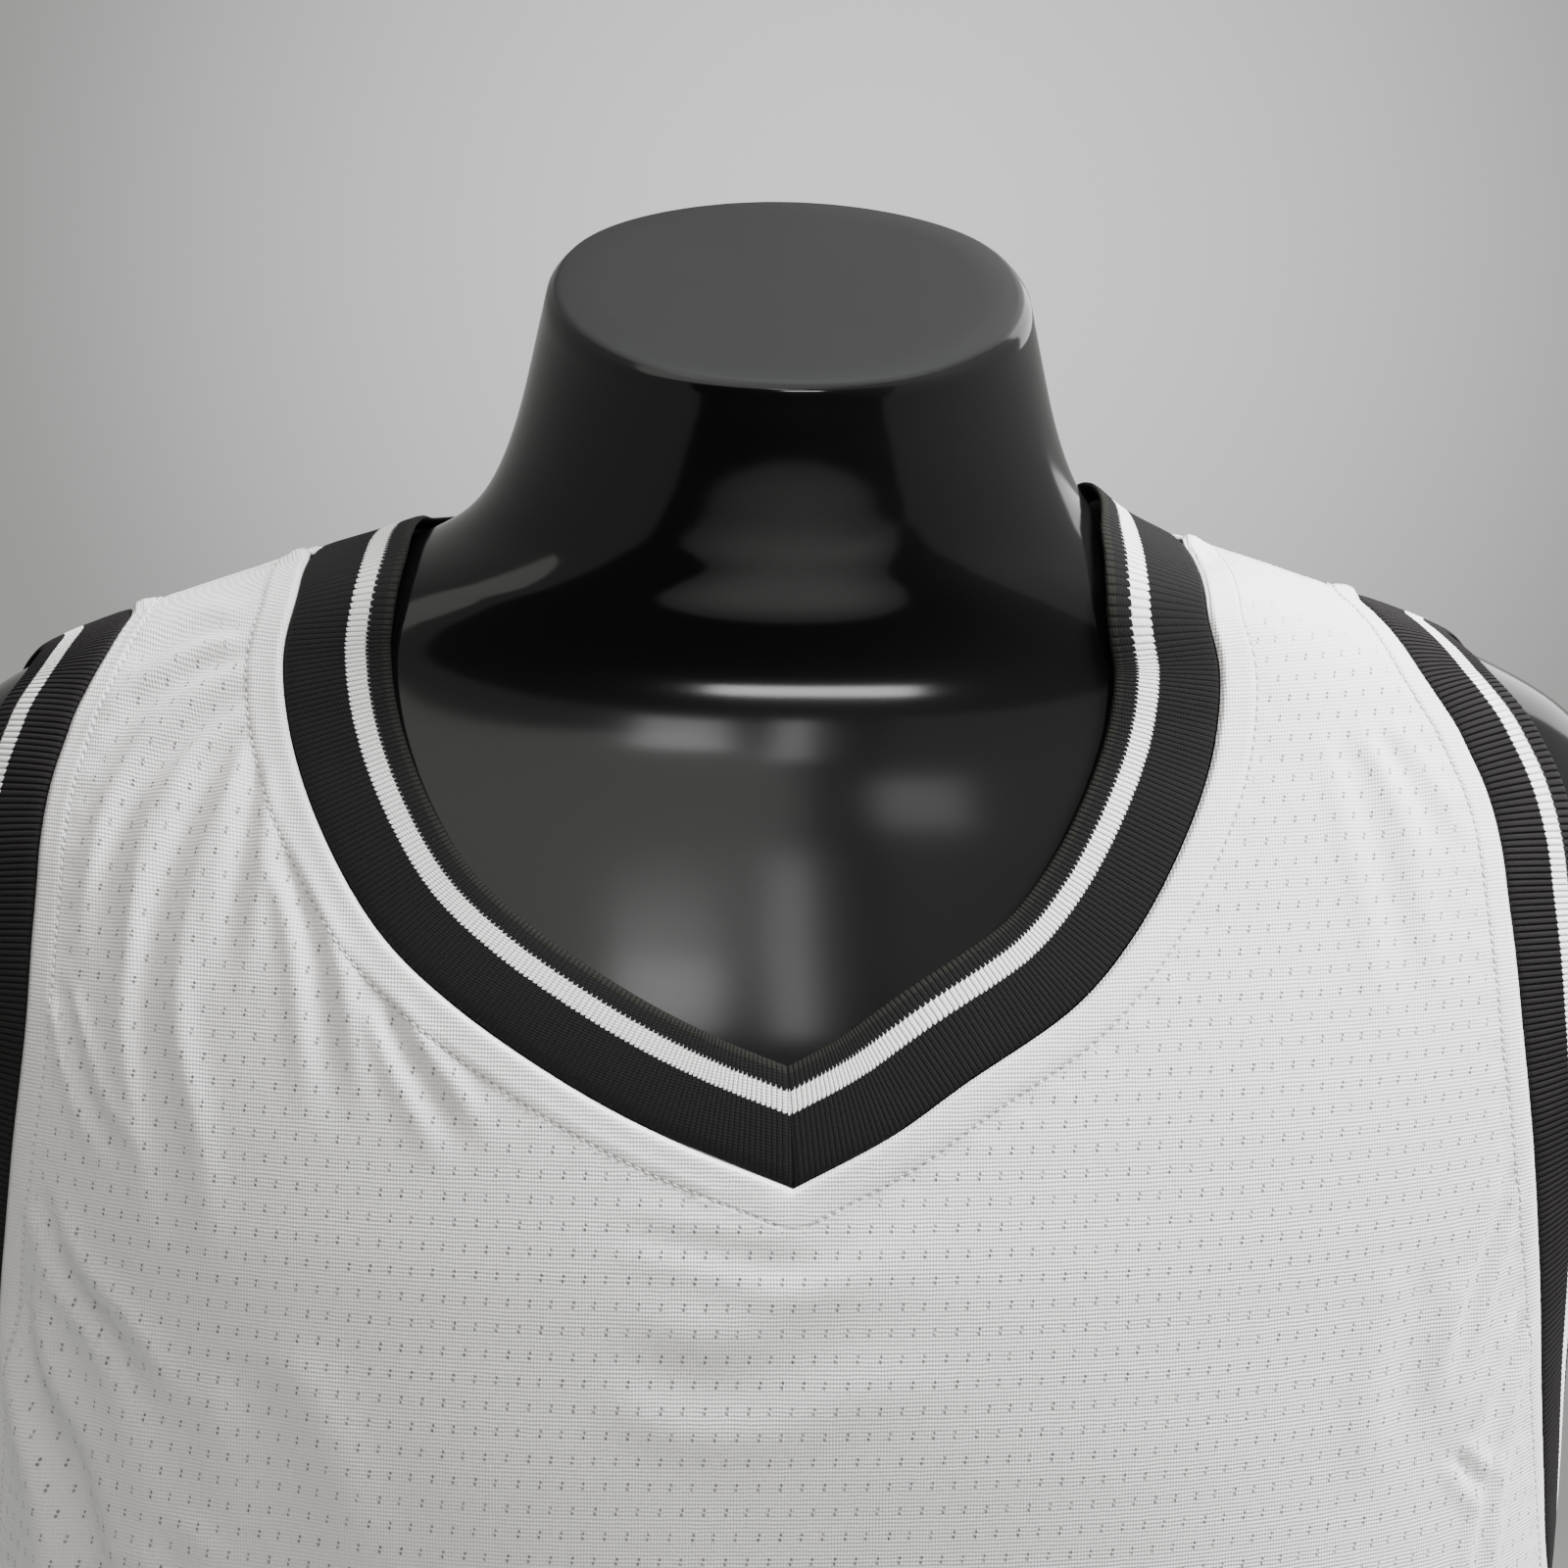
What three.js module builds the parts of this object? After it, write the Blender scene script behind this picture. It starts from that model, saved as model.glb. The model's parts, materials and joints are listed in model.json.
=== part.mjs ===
// A basketball jersey, sleeveless with a V neck and striped rib bands, worn by a limbless dress form.
// Millimetres, +Z up. The front faces -Y, and the wearer's right hand is towards -X.
// The origin is the middle of the form's flat base, on the surface that it stands on.

import * as THREE from 'three';

// Driving dimensions of the cut
const PANEL_WALL = 1.6;
const BAND_WALL = 2.4;
const BAND_WIDTH = 28;
const BAND_CROWN = 0.6;
const BAND_LIFT = 0.9;
const MITRE_EASING = 55;
const SEAM_GAP = 0.3;
const HEM_HEIGHT = 45;
const UNDERARM_HEIGHT = 526;
const V_TIP_HEIGHT = 677.5;
const BACK_NECK_HEIGHT = 806;

// Driving dimensions of the form's neck, which ends in a flat cap that leans to the front
const NECK_START = 845;
const NECK_CAP_HEIGHT = 895;
const NECK_CAP_MIDDLE = -19;
const NECK_CAP_TILT = THREE.MathUtils.degToRad(14.5);
const NECK_CAP_LIP = 3;

// How finely each piece is faceted
const FORM_SIDES = 40;
const FORM_RINGS = 36;
const BODY_COLUMNS = 13;
const UNDERARM_COLUMNS = 3;
const FRONT_ROWS = { skirt: 14, chest: 8, strap: 15 };
const BACK_ROWS = { skirt: 12, chest: 11, strap: 10 };

// Level sections of the form: half width, reach of front and back from the middle plane, and the
// power of the superellipse, which is 2 for an ellipse and more for a squarer section
const FORM_SECTIONS = [
  { up: 0, half: 166, front: 106, back: 106, power: 2.5 },
  { up: 90, half: 171, front: 108, back: 114, power: 2.4 },
  { up: 200, half: 163, front: 105, back: 106, power: 2.3 },
  { up: 320, half: 144, front: 99, back: 90, power: 2.2 },
  { up: 400, half: 141, front: 99, back: 87, power: 2.2 },
  { up: 480, half: 153, front: 107, back: 95, power: 2.3 },
  { up: 540, half: 166, front: 117, back: 105, power: 2.35 },
  { up: 590, half: 180, front: 121, back: 113, power: 2.35 },
  { up: 640, half: 214, front: 119.5, back: 118, power: 2.2 },
  { up: 680, half: 236, front: 112, back: 117, power: 2.2 },
  { up: 715, half: 243, front: 100, back: 112, power: 2.2 },
  { up: 740, half: 241, front: 88, back: 106, power: 2.2 },
  { up: 762, half: 233, front: 77.5, back: 99, power: 2.15 },
  { up: 777, half: 221, front: 70, back: 92, power: 2.1 },
  { up: 788, half: 205, front: 66, back: 86.5, power: 2.1 },
  { up: 802, half: 176, front: 63, back: 78.5, power: 2.1 },
  { up: 816, half: 138, front: 64.5, back: 70, power: 2.1 },
  { up: 827, half: 105, front: 68, back: 61.5, power: 2.1 },
  { up: 835, half: 89, front: 70.5, back: 57, power: 2 },
  { up: NECK_START, half: 79, front: 74, back: 52.5, power: 2 },
  { up: 866, half: 70, front: 79, back: 46, power: 2 },
  { up: NECK_CAP_HEIGHT, half: 64, front: 82, back: 42, power: 2 },
];

// Level sections of the jersey's outside: it rests on the shoulders and hangs loose below the chest
const CLOTH_SECTIONS = [
  { up: HEM_HEIGHT, half: 215, front: 134, back: 130, power: 2.35 },
  { up: 300, half: 211, front: 130, back: 124, power: 2.35 },
  { up: 530, half: 221, front: 128, back: 125, power: 2.4 },
  { up: 600, half: 223, front: 127, back: 125, power: 2.35 },
  { up: 645, half: 230, front: 123, back: 123, power: 2.25 },
  { up: 682, half: 241, front: 114.5, back: 120.5, power: 2.2 },
  { up: 718, half: 246.5, front: 101.5, back: 114.5, power: 2.2 },
  { up: 745, half: 243.5, front: 89, back: 108, power: 2.2 },
  { up: 765, half: 235, front: 79.4, back: 101.2, power: 2.15 },
  { up: 779, half: 223.3, front: 72.6, back: 94.5, power: 2.1 },
  { up: 790, half: 207.3, front: 68.5, back: 89, power: 2.1 },
  { up: 804.5, half: 177.2, front: 66, back: 80.5, power: 2.1 },
  { up: 818.5, half: 139.2, front: 68.2, back: 71.8, power: 2.1 },
  { up: 829.5, half: 106.2, front: 71.8, back: 63.4, power: 2.1 },
  { up: 838, half: 89.7, front: 74.6, back: 58.7, power: 2 },
  { up: 848, half: 80.8, front: 78.2, back: 54.7, power: 2 },
  { up: 868, half: 73.5, front: 83, back: 49.5, power: 2 },
];

// Neckline seam, from the tip of the V up to the shoulder: half its width at each height, and how
// far the jersey has slipped towards the wearer's right
const NECK_SEAM_FRONT = [
  { up: 690, half: 28, slip: 3.5 },
  { up: 702, half: 49, slip: 6 },
  { up: 720, half: 78, slip: 6 },
  { up: 735, half: 94.5, slip: 7.5 },
  { up: 755, half: 108.5, slip: 8 },
  { up: 778, half: 119, slip: 8.5 },
  { up: 798, half: 122, slip: 9 },
];
const NECK_SHOULDER = { half: 122, slip: 9.7 };
const NECK_SEAM_BACK = [
  { up: 815, half: 112, slip: 9.7 },
  { up: 810, half: 90, slip: 9.7 },
  { up: 807, half: 50, slip: 9.7 },
];

// Armhole seam, from the underarm up to the shoulder: its reach from the middle plane at each
// height on the front and on the back, and the slip
const ARM_SEAM = [
  { up: 534, front: 217.5, back: 217, slip: 0 },
  { up: 552, front: 213.3, back: 213, slip: 0.6 },
  { up: 578, front: 210.3, back: 210.5, slip: 1.3 },
  { up: 602, front: 208, back: 209, slip: 1.9 },
  { up: 635, front: 204.5, back: 207, slip: 1.9 },
  { up: 670, front: 200, back: 204, slip: 1.9 },
  { up: 705, front: 195.5, back: 200, slip: 1.9 },
  { up: 735, front: 193, back: 197, slip: 2.5 },
  { up: 762, front: 189.5, back: 192, slip: 3.7 },
  { up: 780, front: 183, back: 186, slip: 5 },
  { up: 796, front: 174.5, back: 176, slip: 5.5 },
];
const ARM_SHOULDER = { half: 167, slip: 9 };

// Soft folds of the front. Each runs from one place to another, across and up, and stands proud
// by its height, or sinks where that is negative, over its width
const FRONT_FOLDS = [
  { x0: -146, z0: 800, x1: -186, z1: 768, width: 7, height: 2.2 },
  { x0: -138, z0: 786, x1: -184, z1: 738, width: 8, height: 2.6 },
  { x0: -134, z0: 768, x1: -176, z1: 700, width: 9, height: 2.8 },
  { x0: -126, z0: 750, x1: -158, z1: 672, width: 10, height: 2.4 },
  { x0: -116, z0: 735, x1: -130, z1: 680, width: 9, height: 1.8 },
  { x0: -196, z0: 680, x1: -172, z1: 610, width: 10, height: 3 },
  { x0: -206, z0: 620, x1: -180, z1: 540, width: 12, height: 3.5 },
  { x0: 128, z0: 775, x1: 170, z1: 700, width: 10, height: 2 },
  { x0: 190, z0: 660, x1: 168, z1: 560, width: 12, height: 2.8 },
];

// Folds that hang from the chest to the hem: the turn from centre front, towards the wearer's left,
// the height where each starts, its half width in degrees at the hem and its height there
const HANGING_FOLDS = [
  { turn: -158, start: 640, spread: 8, height: 6 },
  { turn: -133, start: 590, spread: 7, height: -5 },
  { turn: -112, start: 560, spread: 8, height: 8 },
  { turn: -88, start: 520, spread: 8, height: -10 },
  { turn: -66, start: 570, spread: 8, height: 8 },
  { turn: -44, start: 500, spread: 8, height: -6 },
  { turn: -20, start: 430, spread: 9, height: 5 },
  { turn: 6, start: 380, spread: 9, height: -4 },
  { turn: 30, start: 470, spread: 9, height: 6 },
  { turn: 52, start: 520, spread: 7, height: -6 },
  { turn: 74, start: 560, spread: 8, height: 9 },
  { turn: 95, start: 510, spread: 8, height: -9 },
  { turn: 118, start: 580, spread: 9, height: 8 },
  { turn: 142, start: 540, spread: 8, height: -5 },
  { turn: 168, start: 620, spread: 9, height: 7 },
];
const FOLD_FADE_AT_SEAM = 14;

// The shares of a crease's length over which it rises at its start and fades at its end
const CREASE_HEAD = 0.25;
const CREASE_TAIL = 0.4;

const FRONT = -1;
const BACK = 1;
const QUARTER = 90;
const HALF_TURN = 180;
const FULL_TURN = 360;

// Half the distance over which a surface's slope is measured, the steps that bring a point onto it,
// and the heights between which the shoulder ridge lies
const PROBE = 0.05;
const SETTLE_STEPS = 10;
const RIDGE_SEARCH = { low: 780, high: 860, closeness: 0.01 };

// How many points each seam is measured at, and how far along it a tangent is taken
const FINE_STEPS = 480;
const TANGENT_STEPS = 4;

// Corners closer than a thousandth of a millimetre are one corner
const PLACES_IN_A_MILLIMETRE = 1000;

// The height at the middle of the row that leaves the armhole above the underarm, and the shares of
// the armhole seam that lie below that row and below the neckline's lowest point
const CHEST_HEIGHT = 540;
const UNDERARM_SHARE = 0.1;
const CHEST_SHARE = { [FRONT]: 0.4, [BACK]: 0.68 };

const clamp01 = (t) => Math.min(1, Math.max(0, t));
const smooth = (t) => clamp01(t) ** 2 * (3 - 2 * clamp01(t));

// A curve through the given rows that never overshoots them
function monotoneCurve(rows, column) {
  const x = rows.map((row) => row.up);
  const y = rows.map((row) => row[column]);
  const step = x.slice(1).map((value, i) => value - x[i]);
  const slope = step.map((width, i) => (y[i + 1] - y[i]) / width);
  const tangent = y.map((_, i) => {
    if (i === 0) return slope[0];
    if (i === y.length - 1) return slope[i - 1];
    if (slope[i - 1] * slope[i] <= 0) return 0;
    const before = 2 * step[i] + step[i - 1];
    const after = step[i] + 2 * step[i - 1];
    return (before + after) / (before / slope[i - 1] + after / slope[i]);
  });
  return (value) => {
    const at = Math.min(Math.max(value, x[0]), x[x.length - 1]);
    let i = 0;
    while (i < x.length - 2 && x[i + 1] < at) i += 1;
    const t = (at - x[i]) / step[i];
    const start = (1 + 2 * t) * (1 - t) ** 2 * y[i] + t * (1 - t) ** 2 * step[i] * tangent[i];
    return start + t * t * (3 - 2 * t) * y[i + 1] + t * t * (t - 1) * step[i] * tangent[i + 1];
  };
}

// A surface of level superellipse sections
class SectionSurface {
  constructor(rows) {
    this.half = monotoneCurve(rows, 'half');
    this.front = monotoneCurve(rows, 'front');
    this.back = monotoneCurve(rows, 'back');
    this.power = monotoneCurve(rows, 'power');
  }

  section(up) {
    const front = this.front(up);
    const back = this.back(up);
    return {
      half: this.half(up),
      middle: (back - front) / 2,
      depth: (back + front) / 2,
      power: this.power(up),
    };
  }

  // The point at a height and a turn in degrees from centre front, towards +X
  point(up, turn) {
    const { half, middle, depth, power } = this.section(up);
    const sine = Math.sin(THREE.MathUtils.degToRad(turn));
    const cosine = Math.cos(THREE.MathUtils.degToRad(turn));
    const reach = (Math.abs(sine) ** power + Math.abs(cosine) ** power) ** (-1 / power);
    return new THREE.Vector3(half * reach * sine, middle - depth * reach * cosine, up);
  }

  turnOf(p) {
    const { half, middle, depth } = this.section(p.z);
    return THREE.MathUtils.radToDeg(Math.atan2(p.x / half, (middle - p.y) / depth));
  }

  // Below zero inside the surface and above zero outside
  level(p) {
    const { half, middle, depth, power } = this.section(p.z);
    const wide = Math.abs(p.x / half) ** power;
    const deep = Math.abs((p.y - middle) / depth) ** power;
    return (wide + deep) ** (1 / power) - 1;
  }

  gradient(p) {
    const rise = (axis) => {
      const ahead = p.clone();
      const behind = p.clone();
      ahead[axis] += PROBE;
      behind[axis] -= PROBE;
      return (this.level(ahead) - this.level(behind)) / (2 * PROBE);
    };
    return new THREE.Vector3(rise('x'), rise('y'), rise('z'));
  }

  normal(p) {
    return this.gradient(p).normalize();
  }

  // The nearest place on the surface, found in small steps
  settle(p) {
    const on = p.clone();
    for (let i = 0; i < SETTLE_STEPS; i += 1) {
      const gradient = this.gradient(on);
      on.addScaledVector(gradient, -this.level(on) / gradient.lengthSq());
    }
    return on;
  }

  // The point at a height and a distance across, on the front or the back
  across(up, x, face) {
    const { half, middle, depth, power } = this.section(up);
    const left = Math.max(0, 1 - Math.abs(x / half) ** power);
    return new THREE.Vector3(x, middle + face * depth * left ** (1 / power), up);
  }

  // The point of the shoulder ridge at a distance across
  ridge(x) {
    let { low, high } = RIDGE_SEARCH;
    while (high - low > RIDGE_SEARCH.closeness) {
      const up = (low + high) / 2;
      if (this.half(up) > Math.abs(x)) low = up;
      else high = up;
    }
    return this.point(low, Math.sign(x) * QUARTER);
  }
}

const formSurface = new SectionSurface(FORM_SECTIONS);
const cloth = new SectionSurface(CLOTH_SECTIONS);

// The neckline seam of one side, from the tip of the V over the shoulder to the centre back
function neckSeamPoints(side) {
  const front = NECK_SEAM_FRONT.map((row) => cloth.across(row.up, side * row.half - row.slip, FRONT));
  const back = NECK_SEAM_BACK.map((row) => cloth.across(row.up, side * row.half - row.slip, BACK));
  const shoulder = cloth.ridge(side * NECK_SHOULDER.half - NECK_SHOULDER.slip);
  return [cloth.point(V_TIP_HEIGHT, 0), ...front, shoulder, ...back, centreBack(BACK_NECK_HEIGHT)];
}

// The centre back, which leans towards the slip as it goes up
function centreBack(up) {
  const slip = NECK_SHOULDER.slip * smooth((up - UNDERARM_HEIGHT) / (BACK_NECK_HEIGHT - UNDERARM_HEIGHT));
  return cloth.across(up, -slip, BACK);
}

// The whole neckline seam: from the tip of the V over the right shoulder, the back and the left
// shoulder to the tip again
function neckSeamCurve() {
  const right = neckSeamPoints(-1);
  const left = neckSeamPoints(1).reverse();
  return new THREE.CatmullRomCurve3([...right, ...left.slice(1)], false, 'centripetal');
}

// One armhole seam: from the underarm up the front, over the shoulder and down the back
function armSeamCurve(side) {
  const place = (row, face, column) => cloth.across(row.up, side * row[column] - row.slip, face);
  const front = ARM_SEAM.map((row) => place(row, FRONT, 'front'));
  const back = ARM_SEAM.map((row) => place(row, BACK, 'back')).reverse();
  const shoulder = cloth.ridge(side * ARM_SHOULDER.half - ARM_SHOULDER.slip);
  const underarm = cloth.point(UNDERARM_HEIGHT, side * QUARTER);
  return new THREE.CatmullRomCurve3([underarm, ...front, shoulder, ...back], true, 'centripetal');
}

// Evenly spaced points of a curve, each settled on the cloth's surface
function settled(curve, steps) {
  return curve.getSpacedPoints(steps).map((p) => cloth.settle(p));
}

const neckSeam = settled(neckSeamCurve(), FINE_STEPS);
const armSeams = {
  right: settled(armSeamCurve(-1), FINE_STEPS),
  left: settled(armSeamCurve(1), FINE_STEPS),
};
const armSeamOf = (side) => (side < 0 ? armSeams.right : armSeams.left);
const seamPoints = [...neckSeam, ...armSeams.right, ...armSeams.left];

// The place at a fractional index of a line of points
function placeAt(line, at) {
  const i = Math.min(Math.floor(at), line.length - 2);
  return line[i].clone().lerp(line[i + 1], at - i);
}

const nearestIndex = (line, p) => {
  const distances = line.map((q) => q.distanceTo(p));
  return distances.indexOf(Math.min(...distances));
};

// How far the cloth stands off its smooth surface because of its folds
function foldHeight(p) {
  const turn = cloth.turnOf(p);
  const hanging = HANGING_FOLDS.map((fold) => {
    const away = ((turn - fold.turn + HALF_TURN + FULL_TURN) % FULL_TURN) - HALF_TURN;
    const fall = smooth((fold.start - p.z) / (fold.start - HEM_HEIGHT));
    return fold.height * fall * Math.exp(-((away / fold.spread) ** 2));
  });
  const creases = Math.abs(turn) < QUARTER ? FRONT_FOLDS.map((fold) => creaseHeight(fold, p)) : [];
  const total = [...hanging, ...creases].reduce((sum, height) => sum + height, 0);
  const distance = Math.min(...seamPoints.map((q) => q.distanceTo(p)));
  return total * smooth(distance / FOLD_FADE_AT_SEAM);
}

// The height of one fold of the front at a point: full at its middle, fading to its ends and sides
function creaseHeight(fold, p) {
  const along = new THREE.Vector2(fold.x1 - fold.x0, fold.z1 - fold.z0);
  const offset = new THREE.Vector2(p.x - fold.x0, p.z - fold.z0);
  const t = offset.dot(along) / along.lengthSq();
  const away = Math.abs(offset.cross(along)) / along.length();
  const ends = smooth(t / CREASE_HEAD) * smooth((1 - t) / CREASE_TAIL);
  return fold.height * ends * Math.exp(-((away / fold.width) ** 2));
}

// A closed wall made of square patches of an outer and an inner skin that share their edges
class Wall {
  constructor() {
    this.places = new Map();
    this.outer = [];
    this.inner = [];
    this.faces = [];
  }

  vertex(outer, inner) {
    const key = outer.toArray().map((value) => Math.round(value * PLACES_IN_A_MILLIMETRE) + 0).join();
    if (!this.places.has(key)) {
      this.places.set(key, this.outer.length);
      this.outer.push(outer);
      this.inner.push(inner);
    }
    return this.places.get(key);
  }

  // Rows of { outer, inner } points. Flip turns the patch's outside round
  patch(rows, flip = false) {
    const index = rows.map((row) => row.map((place) => this.vertex(place.outer, place.inner)));
    for (let i = 0; i < index.length - 1; i += 1) {
      for (let j = 0; j < index[i].length - 1; j += 1) {
        const corners = [index[i][j], index[i][j + 1], index[i + 1][j + 1], index[i + 1][j]];
        if (flip) corners.reverse();
        this.quad(...corners);
      }
    }
  }

  quad(a, b, c, d) {
    const triangles = [[a, b, c], [a, c, d]];
    this.faces.push(...triangles.filter((face) => new Set(face).size === 3));
  }

  geometry() {
    const count = this.outer.length;
    const inside = this.faces.map(([a, b, c]) => [a + count, c + count, b + count]);
    const directed = new Set(this.faces.flatMap(([a, b, c]) => [`${a},${b}`, `${b},${c}`, `${c},${a}`]));
    const rims = [...directed]
      .map((edge) => edge.split(',').map(Number))
      .filter(([a, b]) => !directed.has(`${b},${a}`))
      .flatMap(([a, b]) => [[b, a, a + count], [b, a + count, b + count]]);
    const geometry = new THREE.BufferGeometry();
    geometry.setFromPoints([...this.outer, ...this.inner]);
    geometry.setIndex([...this.faces, ...inside, ...rims].flat());
    geometry.computeVertexNormals();
    return geometry;
  }
}

// The outside and the inside of a wall at a point of the cloth's surface, by their heights off it
function skins(p, outside, inside, shift = 0) {
  const normal = cloth.normal(p);
  const place = (height) => p.clone().addScaledVector(normal, height).add(new THREE.Vector3(0, shift, 0));
  return { outer: place(outside), inner: place(inside) };
}

// Where the rows and columns of one half of a panel meet the seams, as fractional indices of the
// seams' points: the neckline from its lowest point to the shoulder, and the armhole from the side
// seam round the underarm and up to the shoulder
function stations(side, face) {
  const rows = face === FRONT ? FRONT_ROWS : BACK_ROWS;
  const seam = armSeamOf(side);
  const neckTop = nearestIndex(neckSeam, cloth.ridge(side * NECK_SHOULDER.half - NECK_SHOULDER.slip));
  const frontTip = side < 0 ? 0 : neckSeam.length - 1;
  const neckLow = face === FRONT ? frontTip : nearestIndex(neckSeam, centreBack(BACK_NECK_HEIGHT));
  const armTop = nearestIndex(seam, cloth.ridge(side * ARM_SHOULDER.half - ARM_SHOULDER.slip));
  const armLow = face === FRONT ? 0 : seam.length - 1;
  const share = (part) => THREE.MathUtils.lerp(armLow, armTop, part);
  const steps = (from, to, count) => {
    const indices = Array.from({ length: count }, (_, i) => i);
    return indices.map((i) => from + ((to - from) * i) / count);
  };
  return {
    neck: [...steps(neckLow, neckTop, rows.strap), neckTop],
    underarm: [...steps(armLow, share(UNDERARM_SHARE), UNDERARM_COLUMNS), share(UNDERARM_SHARE)],
    arm: [
      ...steps(share(UNDERARM_SHARE), share(CHEST_SHARE[face]), rows.chest),
      ...steps(share(CHEST_SHARE[face]), armTop, rows.strap),
      armTop,
    ],
  };
}

// A turn that on the back is counted past 90 degrees on its own side, so that no row jumps at 180
function panelTurn(p, side, face) {
  const turn = cloth.turnOf(p);
  return face === BACK && side * turn < 0 ? turn + side * FULL_TURN : turn;
}

// One half of a body panel, as two patches of rows that go from its middle or neckline edge
// outwards: the skirt up to the underarm, and the chest and the shoulder strap above it
function halfPanel(side, face) {
  const rows = face === FRONT ? FRONT_ROWS : BACK_ROWS;
  const seam = armSeamOf(side);
  const { neck, underarm, arm } = stations(side, face);
  const middle = (up) => (face === FRONT ? cloth.point(up, 0) : centreBack(up));
  const neckHeight = face === FRONT ? V_TIP_HEIGHT : BACK_NECK_HEIGHT;
  const lerp = THREE.MathUtils.lerp;
  const between = (inside, outside) => Array.from({ length: BODY_COLUMNS + 1 }, (_, j) => {
    const t = j / BODY_COLUMNS;
    const turn = lerp(panelTurn(inside, side, face), panelTurn(outside, side, face), t);
    return cloth.point(lerp(inside.z, outside.z, smooth(t)), turn);
  });
  const upper = [];
  for (let i = 0; i < rows.chest; i += 1) {
    upper.push(between(middle(lerp(CHEST_HEIGHT, neckHeight, i / rows.chest)), placeAt(seam, arm[i])));
  }
  for (let i = 0; i <= rows.strap; i += 1) {
    upper.push(between(placeAt(neckSeam, neck[i]), placeAt(seam, arm[rows.chest + i])));
  }
  const top = [...upper[0], ...underarm.slice(0, -1).reverse().map((at) => placeAt(seam, at))];
  const skirt = Array.from({ length: rows.skirt + 1 }, (_, i) => top.map((p) => (
    cloth.point(lerp(HEM_HEIGHT, p.z, i / rows.skirt), panelTurn(p, side, face))
  )));
  const dressed = (patch) => patch.map((row) => row.map((p) => {
    const height = foldHeight(p);
    return skins(p, height, height - PANEL_WALL, (face * SEAM_GAP) / 2);
  }));
  return [dressed(skirt), dressed(upper)];
}

function panelGeometry(face) {
  const wall = new Wall();
  halfPanel(1, face).forEach((patch) => wall.patch(patch, face === BACK));
  halfPanel(-1, face).forEach((patch) => wall.patch(patch, face === FRONT));
  return wall.geometry();
}

// How a rib band stands off the cloth's surface from its seam to its free edge: it swells a little
const BAND_PROFILE = [0, 0.12, 0.36, 0.64, 0.88, 1].map((share) => ({
  share,
  lift: BAND_LIFT - BAND_CROWN * (1 - Math.sin(Math.PI * share) ** 0.5),
}));

// The point of a strip at a seam index and a distance in from the seam
function stripPoint(line, closed, at, inwards, distance) {
  const last = line.length - 1;
  const wrap = (i) => (closed ? (i + last) % last : Math.min(Math.max(i, 0), last));
  const i = Math.min(Math.floor(at), last - 1);
  const p = placeAt(line, at);
  const ahead = line[wrap(i + TANGENT_STEPS)];
  const tangent = ahead.clone().sub(line[wrap(i + 1 - TANGENT_STEPS)]).normalize();
  const direction = cloth.normal(p).cross(tangent).multiplyScalar(inwards);
  return cloth.settle(p.addScaledVector(direction, distance));
}

// The neckband: one rib strip round the neck, whose ends meet in a mitre at the tip of the V
function neckbandGeometry() {
  const last = neckSeam.length - 1;
  const spacing = neckSeam[0].distanceTo(neckSeam[1]);
  const start = neckSeam[TANGENT_STEPS].clone().sub(neckSeam[0]);
  const mitre = Math.atan2(Math.hypot(start.z, start.y), Math.abs(start.x));
  const right = [...stations(-1, FRONT).neck, ...stations(-1, BACK).neck.reverse().slice(1)];
  const left = [...stations(1, BACK).neck.slice(1), ...stations(1, FRONT).neck.reverse().slice(1)];
  const rows = [...right, ...left].map((at) => {
    const fromEnd = Math.min(at, last - at);
    const eased = 1 - smooth((fromEnd * spacing) / MITRE_EASING);
    const lean = Math.tan(mitre) * eased * (at < last / 2 ? 1 : -1);
    return BAND_PROFILE.map(({ share, lift }) => {
      const distance = SEAM_GAP + share * BAND_WIDTH;
      const p = stripPoint(neckSeam, false, at + (distance * lean) / spacing, -1, distance);
      return skins(p, lift, BAND_LIFT - BAND_WALL);
    });
  });
  const squareOff = (row, x) => row.forEach(({ outer, inner }) => {
    outer.x = x;
    inner.x = x;
  });
  squareOff(rows[0], -SEAM_GAP / 2);
  squareOff(rows[rows.length - 1], SEAM_GAP / 2);
  const wall = new Wall();
  wall.patch(rows);
  return wall.geometry();
}

// An armhole band: a rib strip joined into a loop under the arm
function armBandGeometry(side) {
  const front = stations(side, FRONT);
  const back = stations(side, BACK);
  const up = [...front.underarm, ...front.arm.slice(1)];
  const down = [...back.arm.reverse().slice(1), ...back.underarm.reverse().slice(1, -1)];
  const rows = [...up, ...down, up[0]].map((at) => BAND_PROFILE.map(({ share, lift }) => {
    const p = stripPoint(armSeamOf(side), true, at, -side, SEAM_GAP + share * BAND_WIDTH);
    return skins(p, lift, BAND_LIFT - BAND_WALL);
  }));
  const wall = new Wall();
  wall.patch(rows, side < 0);
  return wall.geometry();
}

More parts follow.
